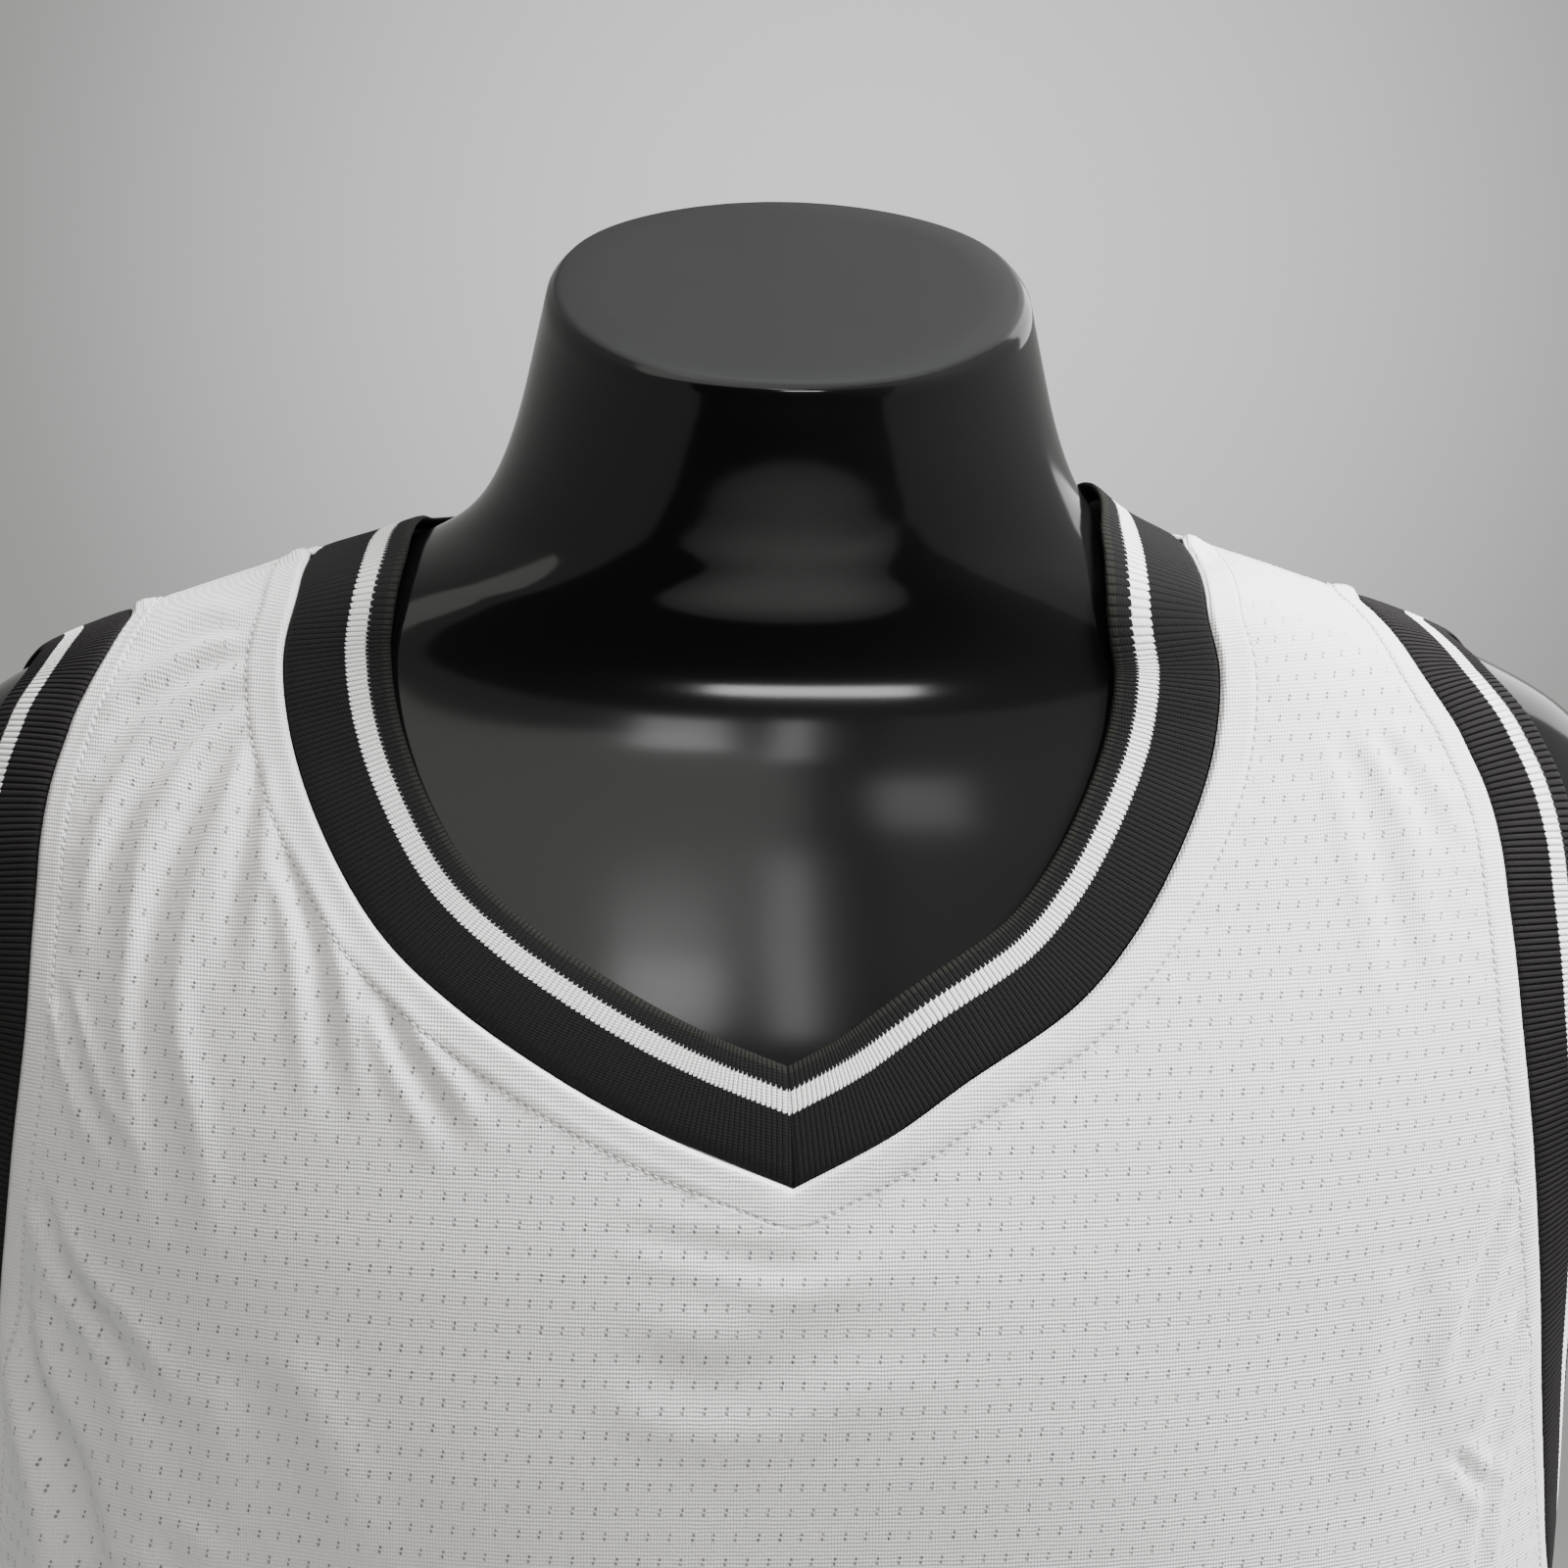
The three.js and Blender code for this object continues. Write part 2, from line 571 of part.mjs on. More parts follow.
// The dress form: level rings that lean to the front up the neck, a flat base and a flat neck cap
function formGeometry() {
  const heights = FORM_SECTIONS.map((row) => row.up);
  const rings = Array.from({ length: FORM_RINGS }, (_, ring) => {
    const share = (ring / (FORM_RINGS - 1)) * (heights.length - 1);
    const i = Math.min(Math.floor(share), heights.length - 2);
    return THREE.MathUtils.lerp(heights[i], heights[i + 1], share - i);
  });
  const capHeight = (y) => NECK_CAP_HEIGHT + (y - NECK_CAP_MIDDLE) * Math.tan(NECK_CAP_TILT);
  const points = rings.flatMap((up) => Array.from({ length: FORM_SIDES }, (_, j) => {
    const p = formSurface.point(up, (FULL_TURN * j) / FORM_SIDES);
    const lean = smooth((up - NECK_START) / (NECK_CAP_HEIGHT - NECK_START));
    const lip = up === NECK_CAP_HEIGHT ? NECK_CAP_LIP : 0;
    p.z += lean * (capHeight(p.y) - NECK_CAP_HEIGHT) - lip;
    return p;
  }));
  const inset = 1 - NECK_CAP_LIP / FORM_SECTIONS[FORM_SECTIONS.length - 1].half;
  const capEdge = points.slice(-FORM_SIDES).map((p) => {
    const y = NECK_CAP_MIDDLE + (p.y - NECK_CAP_MIDDLE) * inset;
    return new THREE.Vector3(p.x * inset, y, capHeight(y));
  });
  const base = new THREE.Vector3(0, 0, 0);
  const cap = new THREE.Vector3(0, NECK_CAP_MIDDLE, NECK_CAP_HEIGHT);
  const all = [...points, ...capEdge, base, cap];
  const triangles = [];
  const levels = rings.length + 1;
  for (let j = 0; j < FORM_SIDES; j += 1) {
    const next = (j + 1) % FORM_SIDES;
    for (let i = 0; i < levels - 1; i += 1) {
      const a = i * FORM_SIDES + j;
      const b = i * FORM_SIDES + next;
      triangles.push(a, b, b + FORM_SIDES, a, b + FORM_SIDES, a + FORM_SIDES);
    }
    triangles.push(all.length - 2, next, j);
    triangles.push(all.length - 1, (levels - 1) * FORM_SIDES + j, (levels - 1) * FORM_SIDES + next);
  }
  const geometry = new THREE.BufferGeometry();
  geometry.setFromPoints(all);
  geometry.setIndex(triangles);
  geometry.computeVertexNormals();
  return geometry;
}

const gloss = () => new THREE.MeshStandardMaterial({ color: 0x0b0b0c, roughness: 0.12, metalness: 0 });
const meshCloth = () => new THREE.MeshStandardMaterial({ color: 0xe4e3e5, roughness: 0.85, metalness: 0 });
const ribKnit = () => new THREE.MeshStandardMaterial({ color: 0x1d1c1c, roughness: 0.9, metalness: 0 });

function piece(name, geometry, material) {
  const mesh = new THREE.Mesh(geometry, material);
  mesh.name = name;
  return mesh;
}

const jersey = new THREE.Group();
jersey.add(piece('dress_form', formGeometry(), gloss()));
jersey.add(piece('front_panel', panelGeometry(FRONT), meshCloth()));
jersey.add(piece('back_panel', panelGeometry(BACK), meshCloth()));
jersey.add(piece('neckband', neckbandGeometry(), ribKnit()));
jersey.add(piece('armhole_band_right', armBandGeometry(-1), ribKnit()));
jersey.add(piece('armhole_band_left', armBandGeometry(1), ribKnit()));

export default jersey;
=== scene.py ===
"""The looks of a basketball jersey on a limbless dress form.

The jersey is eyelet knit with striped rib bands and topstitched seams. The form is gloss plastic.
Sizes are in millimetres, with the front towards -Y, until a mesh is made in metres.
"""

import json
import logging
import math
from dataclasses import dataclass, field
from enum import Enum
from typing import NamedTuple

import bpy
import numpy as np
from mathutils import Matrix, Vector

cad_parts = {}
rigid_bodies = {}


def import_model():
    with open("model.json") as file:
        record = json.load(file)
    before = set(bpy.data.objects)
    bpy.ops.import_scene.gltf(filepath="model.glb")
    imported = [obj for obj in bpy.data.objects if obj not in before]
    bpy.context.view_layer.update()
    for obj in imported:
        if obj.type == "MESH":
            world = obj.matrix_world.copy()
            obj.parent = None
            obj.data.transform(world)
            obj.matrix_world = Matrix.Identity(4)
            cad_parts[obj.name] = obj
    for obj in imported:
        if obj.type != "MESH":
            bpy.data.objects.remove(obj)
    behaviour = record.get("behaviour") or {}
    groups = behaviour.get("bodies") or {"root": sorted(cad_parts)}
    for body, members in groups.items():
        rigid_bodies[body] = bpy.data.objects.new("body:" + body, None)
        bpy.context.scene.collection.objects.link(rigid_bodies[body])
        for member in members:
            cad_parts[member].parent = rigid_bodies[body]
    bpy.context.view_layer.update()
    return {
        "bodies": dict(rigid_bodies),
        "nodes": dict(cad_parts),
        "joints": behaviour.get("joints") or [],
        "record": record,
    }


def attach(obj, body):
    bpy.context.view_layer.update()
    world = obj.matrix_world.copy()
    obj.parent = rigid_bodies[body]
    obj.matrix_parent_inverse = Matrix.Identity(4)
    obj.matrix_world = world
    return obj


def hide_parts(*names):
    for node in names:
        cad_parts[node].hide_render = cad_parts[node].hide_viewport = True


log = logging.getLogger("jersey")

MM = 0.001
MM_IN_METRE = 1000

# Heights on the jersey and sizes of its sewing
HEM_HEIGHT = 45.0
UNDERARM_HEIGHT = 526.0
CHEST_HEIGHT = 540.0
V_TIP_HEIGHT = 677.5
BACK_NECK_HEIGHT = 806.0
NECK_RIB_PITCH = 1.55
ARM_RIB_PITCH = 1.75
SEAM_GAP = 0.3
NECK_STITCH_OFF = 10.0
ARM_STITCH_OFF = 7.5
HEM_STITCHES_UP = (20.0, 23.0)
STITCH_PITCH = 2.5

# Turns round the body, in degrees
QUARTER = 90.0
HALF_TURN = 180.0
FULL_TURN = 360.0

# How finely curves are followed, and how closely places are found
CURVE_STEPS = 40
SEAM_STEPS = 480
TANGENT_STEPS = 3.5
SETTLE_STEPS = 4
SEAM_SETTLE_STEPS = 10
PROBE = 0.05
RIDGE_SEARCH = (780.0, 860.0)
RIDGE_CLOSENESS = 0.01
PLACES_AT_ONCE = 4000
FAR = 200.0

# The tables of the flat cut: level rings, and the way up a line beside the panel's middle
RING_TOP = 700.0
RING_ROWS = 120
WIDEST_TURN = 112
RISE_TOP = 826.0
RISE_ROWS = 400
RISE_LINE = 120.0
NEARLY_ALL = 0.97
RIDGE_ROWS = (845.0, 730.0, 116)
SHOULDER_LOW = 700.0
SIDE_SEAM_PAST = 30.0
SIDE_SEAM_OUT = 100.0


class Face(Enum):
    """Which body panel, as the sign of its side of the Y axis."""

    FRONT = -1
    BACK = 1


class Side(Enum):
    """The wearer's right or left, as the sign of its side of the X axis."""

    RIGHT = -1
    LEFT = 1


class Section(NamedTuple):
    """A level section of the cloth: half width, reach to front and back, and superellipse power."""

    up: float
    half: float
    front: float
    back: float
    power: float


class NeckRow(NamedTuple):
    """A place on the neckline seam: its height, half its width there and the slip to the right."""

    up: float
    half: float
    slip: float


class Shoulder(NamedTuple):
    """Where a seam crosses the shoulder ridge: half its width there and the slip to the right."""

    half: float
    slip: float


class ArmRow(NamedTuple):
    """A place on the armhole seam: its height, its reach on front and back, and the slip."""

    up: float
    front: float
    back: float
    slip: float


class HangingFold(NamedTuple):
    """A fold that falls to the hem: its turn in degrees, where it starts, spread and height."""

    turn: float
    start: float
    spread: float
    height: float


class Crease(NamedTuple):
    """A soft crease along a path of places across and up, sunk by its depth over its width."""

    path: tuple[tuple[float, float], ...]
    width: float
    depth: float


class Ripple(NamedTuple):
    """A faint wave all over the cloth: its rates across and up the cut, its phase and its height."""

    across: float
    up: float
    phase: float
    height: float


class SeamRelief(NamedTuple):
    """How cloth puffs up between a seam and its stitches, and puckers past them."""

    stitches: float
    puff: float
    rise: float
    margin: float
    fall: float
    wave: float


class Boundary(NamedTuple):
    """How far a point lies from a seam, and how far along the seam its nearest place is."""

    away: np.ndarray
    along: np.ndarray


CLOTH_SECTIONS = (
    Section(45, 215, 134, 130, 2.35),
    Section(300, 211, 130, 124, 2.35),
    Section(530, 221, 128, 125, 2.4),
    Section(600, 223, 127, 125, 2.35),
    Section(645, 230, 123, 123, 2.25),
    Section(682, 241, 114.5, 120.5, 2.2),
    Section(718, 246.5, 101.5, 114.5, 2.2),
    Section(745, 243.5, 89, 108, 2.2),
    Section(765, 235, 79.4, 101.2, 2.15),
    Section(778.6, 223.3, 72.6, 94.5, 2.1),
    Section(788.7, 207.3, 68.5, 89, 2.1),
    Section(801.8, 177.2, 66, 80.5, 2.1),
    Section(815.4, 139.2, 68.2, 71.8, 2.1),
    Section(826.1, 106.2, 71.8, 63.4, 2.1),
    Section(835.2, 89.7, 74.6, 58.7, 2),
    Section(846, 80.8, 78.2, 54.7, 2),
    Section(866, 73.5, 83, 49.5, 2),
)
NECK_FRONT = (
    NeckRow(690, 28.8, 3.9),
    NeckRow(702, 50.3, 7.1),
    NeckRow(720, 79.2, 7.2),
    NeckRow(735, 95.3, 8.7),
    NeckRow(755, 108.8, 9.2),
    NeckRow(778, 119, 9.2),
    NeckRow(798, 122.2, 9.5),
    NeckRow(813, 119.6, 9.6),
)
NECK_SHOULDER = Shoulder(117.8, 9.7)
NECK_BACK = (NeckRow(815, 112, 9.7), NeckRow(810, 90, 9.7), NeckRow(807, 50, 9.7))
ARM_ROWS = (
    ArmRow(534, 217.5, 217, 0),
    ArmRow(552, 213.3, 213, 0.6),
    ArmRow(578, 210.3, 210.5, 1.3),
    ArmRow(602, 208, 209, 1.9),
    ArmRow(635, 204.5, 207, 1.9),
    ArmRow(670, 200, 204, 1.9),
    ArmRow(705, 195.5, 200, 1.9),
    ArmRow(735, 193, 197, 2.5),
    ArmRow(762, 189.9, 192, 3.3),
    ArmRow(780, 183.6, 186, 4.4),
    ArmRow(796, 174.5, 176, 5.5),
)
ARM_SHOULDER = Shoulder(167, 9)

HANGING_FOLDS = (
    HangingFold(-158, 640, 8, 6),
    HangingFold(-133, 590, 7, -5),
    HangingFold(-112, 560, 8, 8),
    HangingFold(-88, 520, 8, -10),
    HangingFold(-66, 570, 8, 8),
    HangingFold(-44, 500, 8, -6),
    HangingFold(-20, 430, 9, 5),
    HangingFold(6, 380, 9, -4),
    HangingFold(30, 470, 9, 6),
    HangingFold(52, 520, 7, -6),
    HangingFold(74, 560, 8, 9),
    HangingFold(95, 510, 8, -9),
    HangingFold(118, 580, 9, 8),
    HangingFold(142, 540, 8, -5),
    HangingFold(168, 620, 9, 7),
)

CREASES = {
    Face.FRONT: (
        Crease(((-140, 806), (-157, 802), (-171, 794), (-177, 787)), 2.8, 1.5),
        Crease(((-138, 801), (-153, 795), (-168, 786), (-182, 772)), 2.8, 2.1),
        Crease(((-138, 794), (-155, 780), (-169, 764), (-175, 737), (-173, 712)), 3.4, 2.6),
        Crease(((-138, 787), (-150, 769), (-161, 735), (-163, 710), (-158, 679), (-156, 640)), 4.2, 3.2),
        Crease(((-136, 781), (-139, 760), (-142, 739), (-147, 716)), 3.2, 2.2),
        Crease(((-131, 758), (-122, 735), (-117, 707), (-115, 684)), 3.4, 2.2),
        Crease(((-105, 723), (-98, 709), (-88, 694), (-80, 680)), 3.2, 1.9),
        Crease(((-188, 720), (-184, 704), (-179, 689), (-167, 670)), 2.6, 2.8),
        Crease(((-194, 668), (-188, 646), (-173, 628), (-157, 602)), 3.8, 3.8),
        Crease(((-201, 650), (-199, 615), (-188, 589), (-182, 560), (-178, 515)), 6, 5),
        Crease(((-164, 585), (-152, 560), (-146, 528)), 6, 2.4),
        Crease(((-190, 616), (-182, 580), (-176, 540), (-172, 490)), 13, 4.4),
        Crease(((-140, 632), (-130, 600), (-127, 566)), 9, 1.6),
        Crease(((143, 788), (151, 763), (157, 740), (163, 706)), 4.5, 1.1),
        Crease(((153, 784), (163, 770), (175, 747)), 3.4, 1.1),
        Crease(((192, 675), (187, 657), (180, 634), (172, 604)), 3, 1.9),
        Crease(((198, 630), (192, 612), (186, 594)), 3.4, 2.3),
        Crease(((176, 597), (183, 588), (190, 579)), 2.6, 1.8),
        Crease(((191, 594), (188, 576), (185, 548)), 3, 2.2),
        Crease(((168, 652), (163, 625), (166, 588)), 7, 1.4),
        Crease(((-48, 668), (-17, 662), (0, 659), (10, 662), (26, 671)), 3.6, 1.0),
        Crease(((-50, 637), (-15, 629), (12, 640), (48, 650)), 8, 1.2),
    ),
    Face.BACK: (
        Crease(((140, 798), (152, 783), (164, 758), (168, 726)), 4, 2.1),
        Crease(((134, 790), (140, 768), (146, 742), (146, 712)), 4.4, 2.4),
        Crease(((-142, 794), (-156, 774), (-166, 744)), 4, 1.9),
        Crease(((-132, 784), (-140, 760), (-144, 728)), 4.4, 2.1),
        Crease(((198, 690), (190, 660), (176, 632), (168, 598)), 4.4, 3),
        Crease(((203, 640), (194, 610), (182, 580), (176, 543)), 5.4, 3.6),
        Crease(((-200, 680), (-190, 645), (-178, 616)), 4.4, 2.8),
        Crease(((-203, 630), (-196, 598), (-182, 566), (-178, 528)), 5.4, 3.4),
        Crease(((-60, 788), (-20, 774), (24, 775), (60, 786)), 7, 1.4),
        Crease(((-70, 758), (-24, 742), (30, 746), (66, 756)), 9, 1.3),
    ),
}

RIPPLES = (
    Ripple(0.021, 0.013, 0.9, 0.5),
    Ripple(-0.017, 0.031, 2.4, 0.4),
    Ripple(0.043, -0.011, 4.1, 0.28),
    Ripple(0.034, 0.052, 1.2, 0.2),
    Ripple(-0.071, 0.028, 5.3, 0.12),
)

NECK_RELIEF = SeamRelief(NECK_STITCH_OFF, 0.85, 1.6, 0.3, 2, 1.9)
ARM_RELIEF = SeamRelief(ARM_STITCH_OFF, 0.6, 1.4, 0.5, 1.8, 1.7)
PUCKER = 0.16
PUCKER_SPREAD = 3.0
RIDGE_SEAM = (0.35, 3.5)
SEAM_LUMP = (1.6, 4.0, 3.0)
HEM_TURNING = (0.5, 1.0, 2.0)
FOLD_FADE = 14.0
NECK_CREASE_FADE = (4.0, 9.0)
ARM_CREASE_FADE = (2.0, 8.0)

# The cloth's way in stops softly short of the form, closer to it from the chest up
CLOSE_FROM = (600.0, 60.0)
CLOSE_ROOM = 1.1
LOOSE_ROOM = 14.0
STOP_SHARPNESS = 2.5

# A crease is a trough between two banks, which grows wider from its head to its tail
CREASE_STEPS = 40
CREASE_HEAD = 0.2
CREASE_TAIL = 0.4
CREASE_START_WIDTH = 0.75
CREASE_WIDENING = 0.5
BANK_OFF = 1.8
BANK_WIDTH = 0.95
BANK_SHARE = 0.6
TROUGH_SHARE = 0.52


def smooth(t: np.ndarray) -> np.ndarray:
    """A soft step from 0 to 1."""
    t = np.clip(t, 0, 1)
    return t * t * (3 - 2 * t)


def bell(away: np.ndarray, width: float | np.ndarray) -> np.ndarray:
    """A soft bump of height 1 that fades over a width."""
    return np.exp(-((away / width) ** 2))


def at_index(line: np.ndarray, index: np.ndarray) -> np.ndarray:
    """The points of a line at fractional indices."""
    low = np.clip(np.floor(index).astype(int), 0, len(line) - 2)
    return line[low] + (line[low + 1] - line[low]) * (index - low)[..., None]


def curve_through(points: np.ndarray, closed: bool, steps: int) -> np.ndarray:
    """Evenly spaced points of a centripetal curve.

    Args:
        points: the places that the curve goes through.
        closed: whether it comes back to its start.
        steps: how many steps it is divided into.

    Returns:
        One more point than there are steps.
    """
    if closed:
        padded = np.vstack([points[-1:], points, points[:2]])
    else:
        padded = np.vstack([2 * points[0] - points[1], points, 2 * points[-1] - points[-2]])
    t = np.linspace(0, 1, CURVE_STEPS, endpoint=False)[:, None]
    pieces = []
    for a, b, c, d in zip(padded, padded[1:], padded[2:], padded[3:]):
        before, here, after = (math.sqrt(np.linalg.norm(q - p)) for p, q in ((a, b), (b, c), (c, d)))
        start = ((b - a) / before - (c - a) / (before + here) + (c - b) / here) * here
        end = ((c - b) / here - (d - b) / (here + after) + (d - c) / after) * here
        squared = 3 * (c - b) - 2 * start - end
        cubed = 2 * (b - c) + start + end
        pieces.append(b + start * t + squared * t**2 + cubed * t**3)
    line = np.vstack([*pieces, padded[-2:-1]])
    lengths = np.concatenate([[0], np.cumsum(np.linalg.norm(np.diff(line, axis=0), axis=1))])
    even = np.linspace(0, lengths[-1], steps + 1)
    return np.stack([np.interp(even, lengths, line[:, k]) for k in range(3)], -1)


class Profile:
    """A curve through rows of values that never overshoots them."""

    def __init__(self, at: np.ndarray, value: np.ndarray) -> None:
        """Works out the slope of the curve at each row.

        Args:
            at: the rising places of the rows.
            value: the value at each place.
        """
        step = np.diff(at)
        slope = np.diff(value) / step
        tangent = np.concatenate([slope[:1], np.zeros(len(at) - 2), slope[-1:]])
        for i in range(1, len(at) - 1):
            if slope[i - 1] * slope[i] > 0:
                before = 2 * step[i] + step[i - 1]
                after = step[i] + 2 * step[i - 1]
                tangent[i] = (before + after) / (before / slope[i - 1] + after / slope[i])
        self.at, self.value, self.step, self.tangent = at, value, step, tangent

    def __call__(self, at: np.ndarray) -> np.ndarray:
        """The value at one place or many.

        Args:
            at: the places, which are kept within the rows.

        Returns:
            A value for each place.
        """
        at = np.clip(at, self.at[0], self.at[-1])
        i = np.clip(np.searchsorted(self.at, at, side="right") - 1, 0, len(self.step) - 1)
        t = (at - self.at[i]) / self.step[i]
        rise, fall = t * (1 - t) ** 2, t * t * (t - 1)
        start = (1 + 2 * t) * (1 - t) ** 2 * self.value[i] + rise * self.step[i] * self.tangent[i]
        end = t * t * (3 - 2 * t) * self.value[i + 1] + fall * self.step[i] * self.tangent[i + 1]
        return start + end


class ClothSurface:
    """The jersey's smooth outside, as level superellipse sections."""

    def __init__(self, sections: tuple[Section, ...]) -> None:
        """Makes a profile of each column of the sections' table."""
        up, *columns = np.array(sections, float).T
        self.half, self.front, self.back, self.power = (Profile(up, column) for column in columns)

    def section(self, up: np.ndarray) -> tuple[np.ndarray, np.ndarray, np.ndarray, np.ndarray]:
        """Half width, middle, depth and power at a height."""
        front, back = self.front(up), self.back(up)
        return self.half(up), (back - front) / 2, (back + front) / 2, self.power(up)

    def point(self, up: np.ndarray, turn: np.ndarray) -> np.ndarray:
        """The point at a height and a turn.

        Args:
            up: its height.
            turn: its turn in degrees from centre front, towards +X.

        Returns:
            A point for each pair of them.
        """
        up, turn = np.broadcast_arrays(np.asarray(up, float), np.asarray(turn, float))
        half, middle, depth, power = self.section(up)
        sine, cosine = np.sin(np.radians(turn)), np.cos(np.radians(turn))
        reach = (np.abs(sine) ** power + np.abs(cosine) ** power) ** (-1 / power)
        return np.stack([half * reach * sine, middle - depth * reach * cosine, up], -1)

    def turn_of(self, p: np.ndarray) -> np.ndarray:
        """The turn in degrees of a point."""
        half, middle, depth, _ = self.section(p[..., 2])
        return np.degrees(np.arctan2(p[..., 0] / half, (middle - p[..., 1]) / depth))

    def level(self, p: np.ndarray) -> np.ndarray:
        """How far outside the surface a point is, as a share of its section.

        Args:
            p: one point or many.

        Returns:
            A number for each point, below zero inside the surface.
        """
        half, middle, depth, power = self.section(p[..., 2])
        wide = np.abs(p[..., 0] / half) ** power
        deep = np.abs((p[..., 1] - middle) / depth) ** power
        return (wide + deep) ** (1 / power) - 1

    def gradient(self, p: np.ndarray) -> np.ndarray:
        """How fast the level rises along each axis."""
        steps = np.eye(3) * PROBE
        return np.stack([(self.level(p + s) - self.level(p - s)) / (2 * PROBE) for s in steps], -1)

    def normal(self, p: np.ndarray) -> np.ndarray:
        """The outward direction at a point."""
        gradient = self.gradient(p)
        return gradient / np.linalg.norm(gradient, axis=-1, keepdims=True)

    def settle(self, p: np.ndarray, steps: int = SETTLE_STEPS) -> np.ndarray:
        """The nearest places on the surface, found step by step.

        Args:
            p: one point or many.
            steps: how many steps are made.

        Returns:
            A point of the surface for each.
        """
        for _ in range(steps):
            gradient = self.gradient(p)
            p = p - gradient * (self.level(p) / (gradient**2).sum(-1))[..., None]
        return p

    def across(self, up: float, x: np.ndarray, face: Face) -> np.ndarray:
        """The point at a height and a distance across.

        Args:
            up: its height.
            x: its distance across.
            face: whether it is on the front or the back.

        Returns:
            A point for each pair of height and distance.
        """
        up, x = np.broadcast_arrays(np.asarray(up, float), np.asarray(x, float))
        half, middle, depth, power = self.section(up)
        left = np.maximum(0, 1 - np.abs(x / half) ** power)
        return np.stack([x, middle + face.value * depth * left ** (1 / power), up], -1)

    def ridge(self, x: float) -> np.ndarray:
        """The point of the shoulder ridge at a distance across.

        Args:
            x: the distance, negative on the right.

        Returns:
            The point, found by halving the range of heights that it can have.
        """
        low, high = RIDGE_SEARCH
        while high - low > RIDGE_CLOSENESS:
            up = (low + high) / 2
            low, high = (up, high) if self.half(up) > abs(x) else (low, up)
        return self.point(low, math.copysign(QUARTER, x))

    def centre_back(self, up: np.ndarray) -> np.ndarray:
        """The centre back, which leans towards the slip as it goes up."""
        lean = smooth((up - UNDERARM_HEIGHT) / (BACK_NECK_HEIGHT - UNDERARM_HEIGHT))
        return self.across(up, -NECK_SHOULDER.slip * lean, Face.BACK)


class Seam:
    """A seam line as evenly spaced points on the cloth."""

    def __init__(
        self, cloth: ClothSurface, points: np.ndarray, closed: bool, steps: int = SEAM_STEPS
    ) -> None:
        """Settles a curve through the given points on the cloth.

        Args:
            cloth: the surface that the seam lies on.
            points: the places that it goes through.
            closed: whether it is a loop.
            steps: how many steps it is divided into.
        """
        self.cloth, self.closed = cloth, closed
        self.points = cloth.settle(curve_through(points, closed, steps), SEAM_SETTLE_STEPS)
        self.last = steps
        self.length = float(np.linalg.norm(np.diff(self.points, axis=0), axis=1).sum())
        self.spacing = self.length / steps

    def nearest(self, p: np.ndarray) -> int:
        """The index of the point nearest to a place."""
        return int(np.linalg.norm(self.points - p, axis=1).argmin())

    def measure(self, places: np.ndarray) -> Boundary:
        """How far each place lies from the seam, and how far along it.

        Args:
            places: points in rows.

        Returns:
            The two distances, in millimetres.
        """
        starts, ways = self.points[:-1], np.diff(self.points, axis=0)
        squares = (ways**2).sum(1)
        away, along = np.empty(len(places)), np.empty(len(places))
        for first in range(0, len(places), PLACES_AT_ONCE):
            rows = slice(first, first + PLACES_AT_ONCE)
            chunk = places[rows]
            near = ((chunk[:, None] - self.points[None]) ** 2).sum(-1).argmin(1)
            best = np.full(len(chunk), np.inf)
            where = np.zeros(len(chunk))
            for k in (np.clip(near - 1, 0, self.last - 1), np.clip(near, 0, self.last - 1)):
                t = np.clip(((chunk - starts[k]) * ways[k]).sum(1) / squares[k], 0, 1)
                gap = np.linalg.norm(chunk - starts[k] - ways[k] * t[:, None], axis=1)
                where = np.where(gap < best, k + t, where)
                best = np.minimum(gap, best)
            away[rows], along[rows] = best, where * self.spacing
        return Boundary(away, along)

    def _wrapped(self, index: np.ndarray) -> np.ndarray:
        """Indices kept within the seam."""
        return np.mod(index, self.last) if self.closed else np.clip(index, 0, self.last)

    def strip(self, index: np.ndarray, inwards: float, distance: np.ndarray) -> np.ndarray:
        """Points at a distance from the seam, square to it.

        Args:
            index: fractional indices along the seam.
            inwards: 1 or -1 for the side of the seam.
            distance: how far from the seam each point is.

        Returns:
            The points on the cloth's surface.
        """
        offsets = (0, TANGENT_STEPS, -TANGENT_STEPS)
        p, ahead, behind = (at_index(self.points, self._wrapped(index + k)) for k in offsets)
        way = ahead - behind
        way = way / np.linalg.norm(way, axis=-1, keepdims=True)
        direction = np.cross(self.cloth.normal(p), way) * inwards
        return self.cloth.settle(p + direction * distance[..., None])


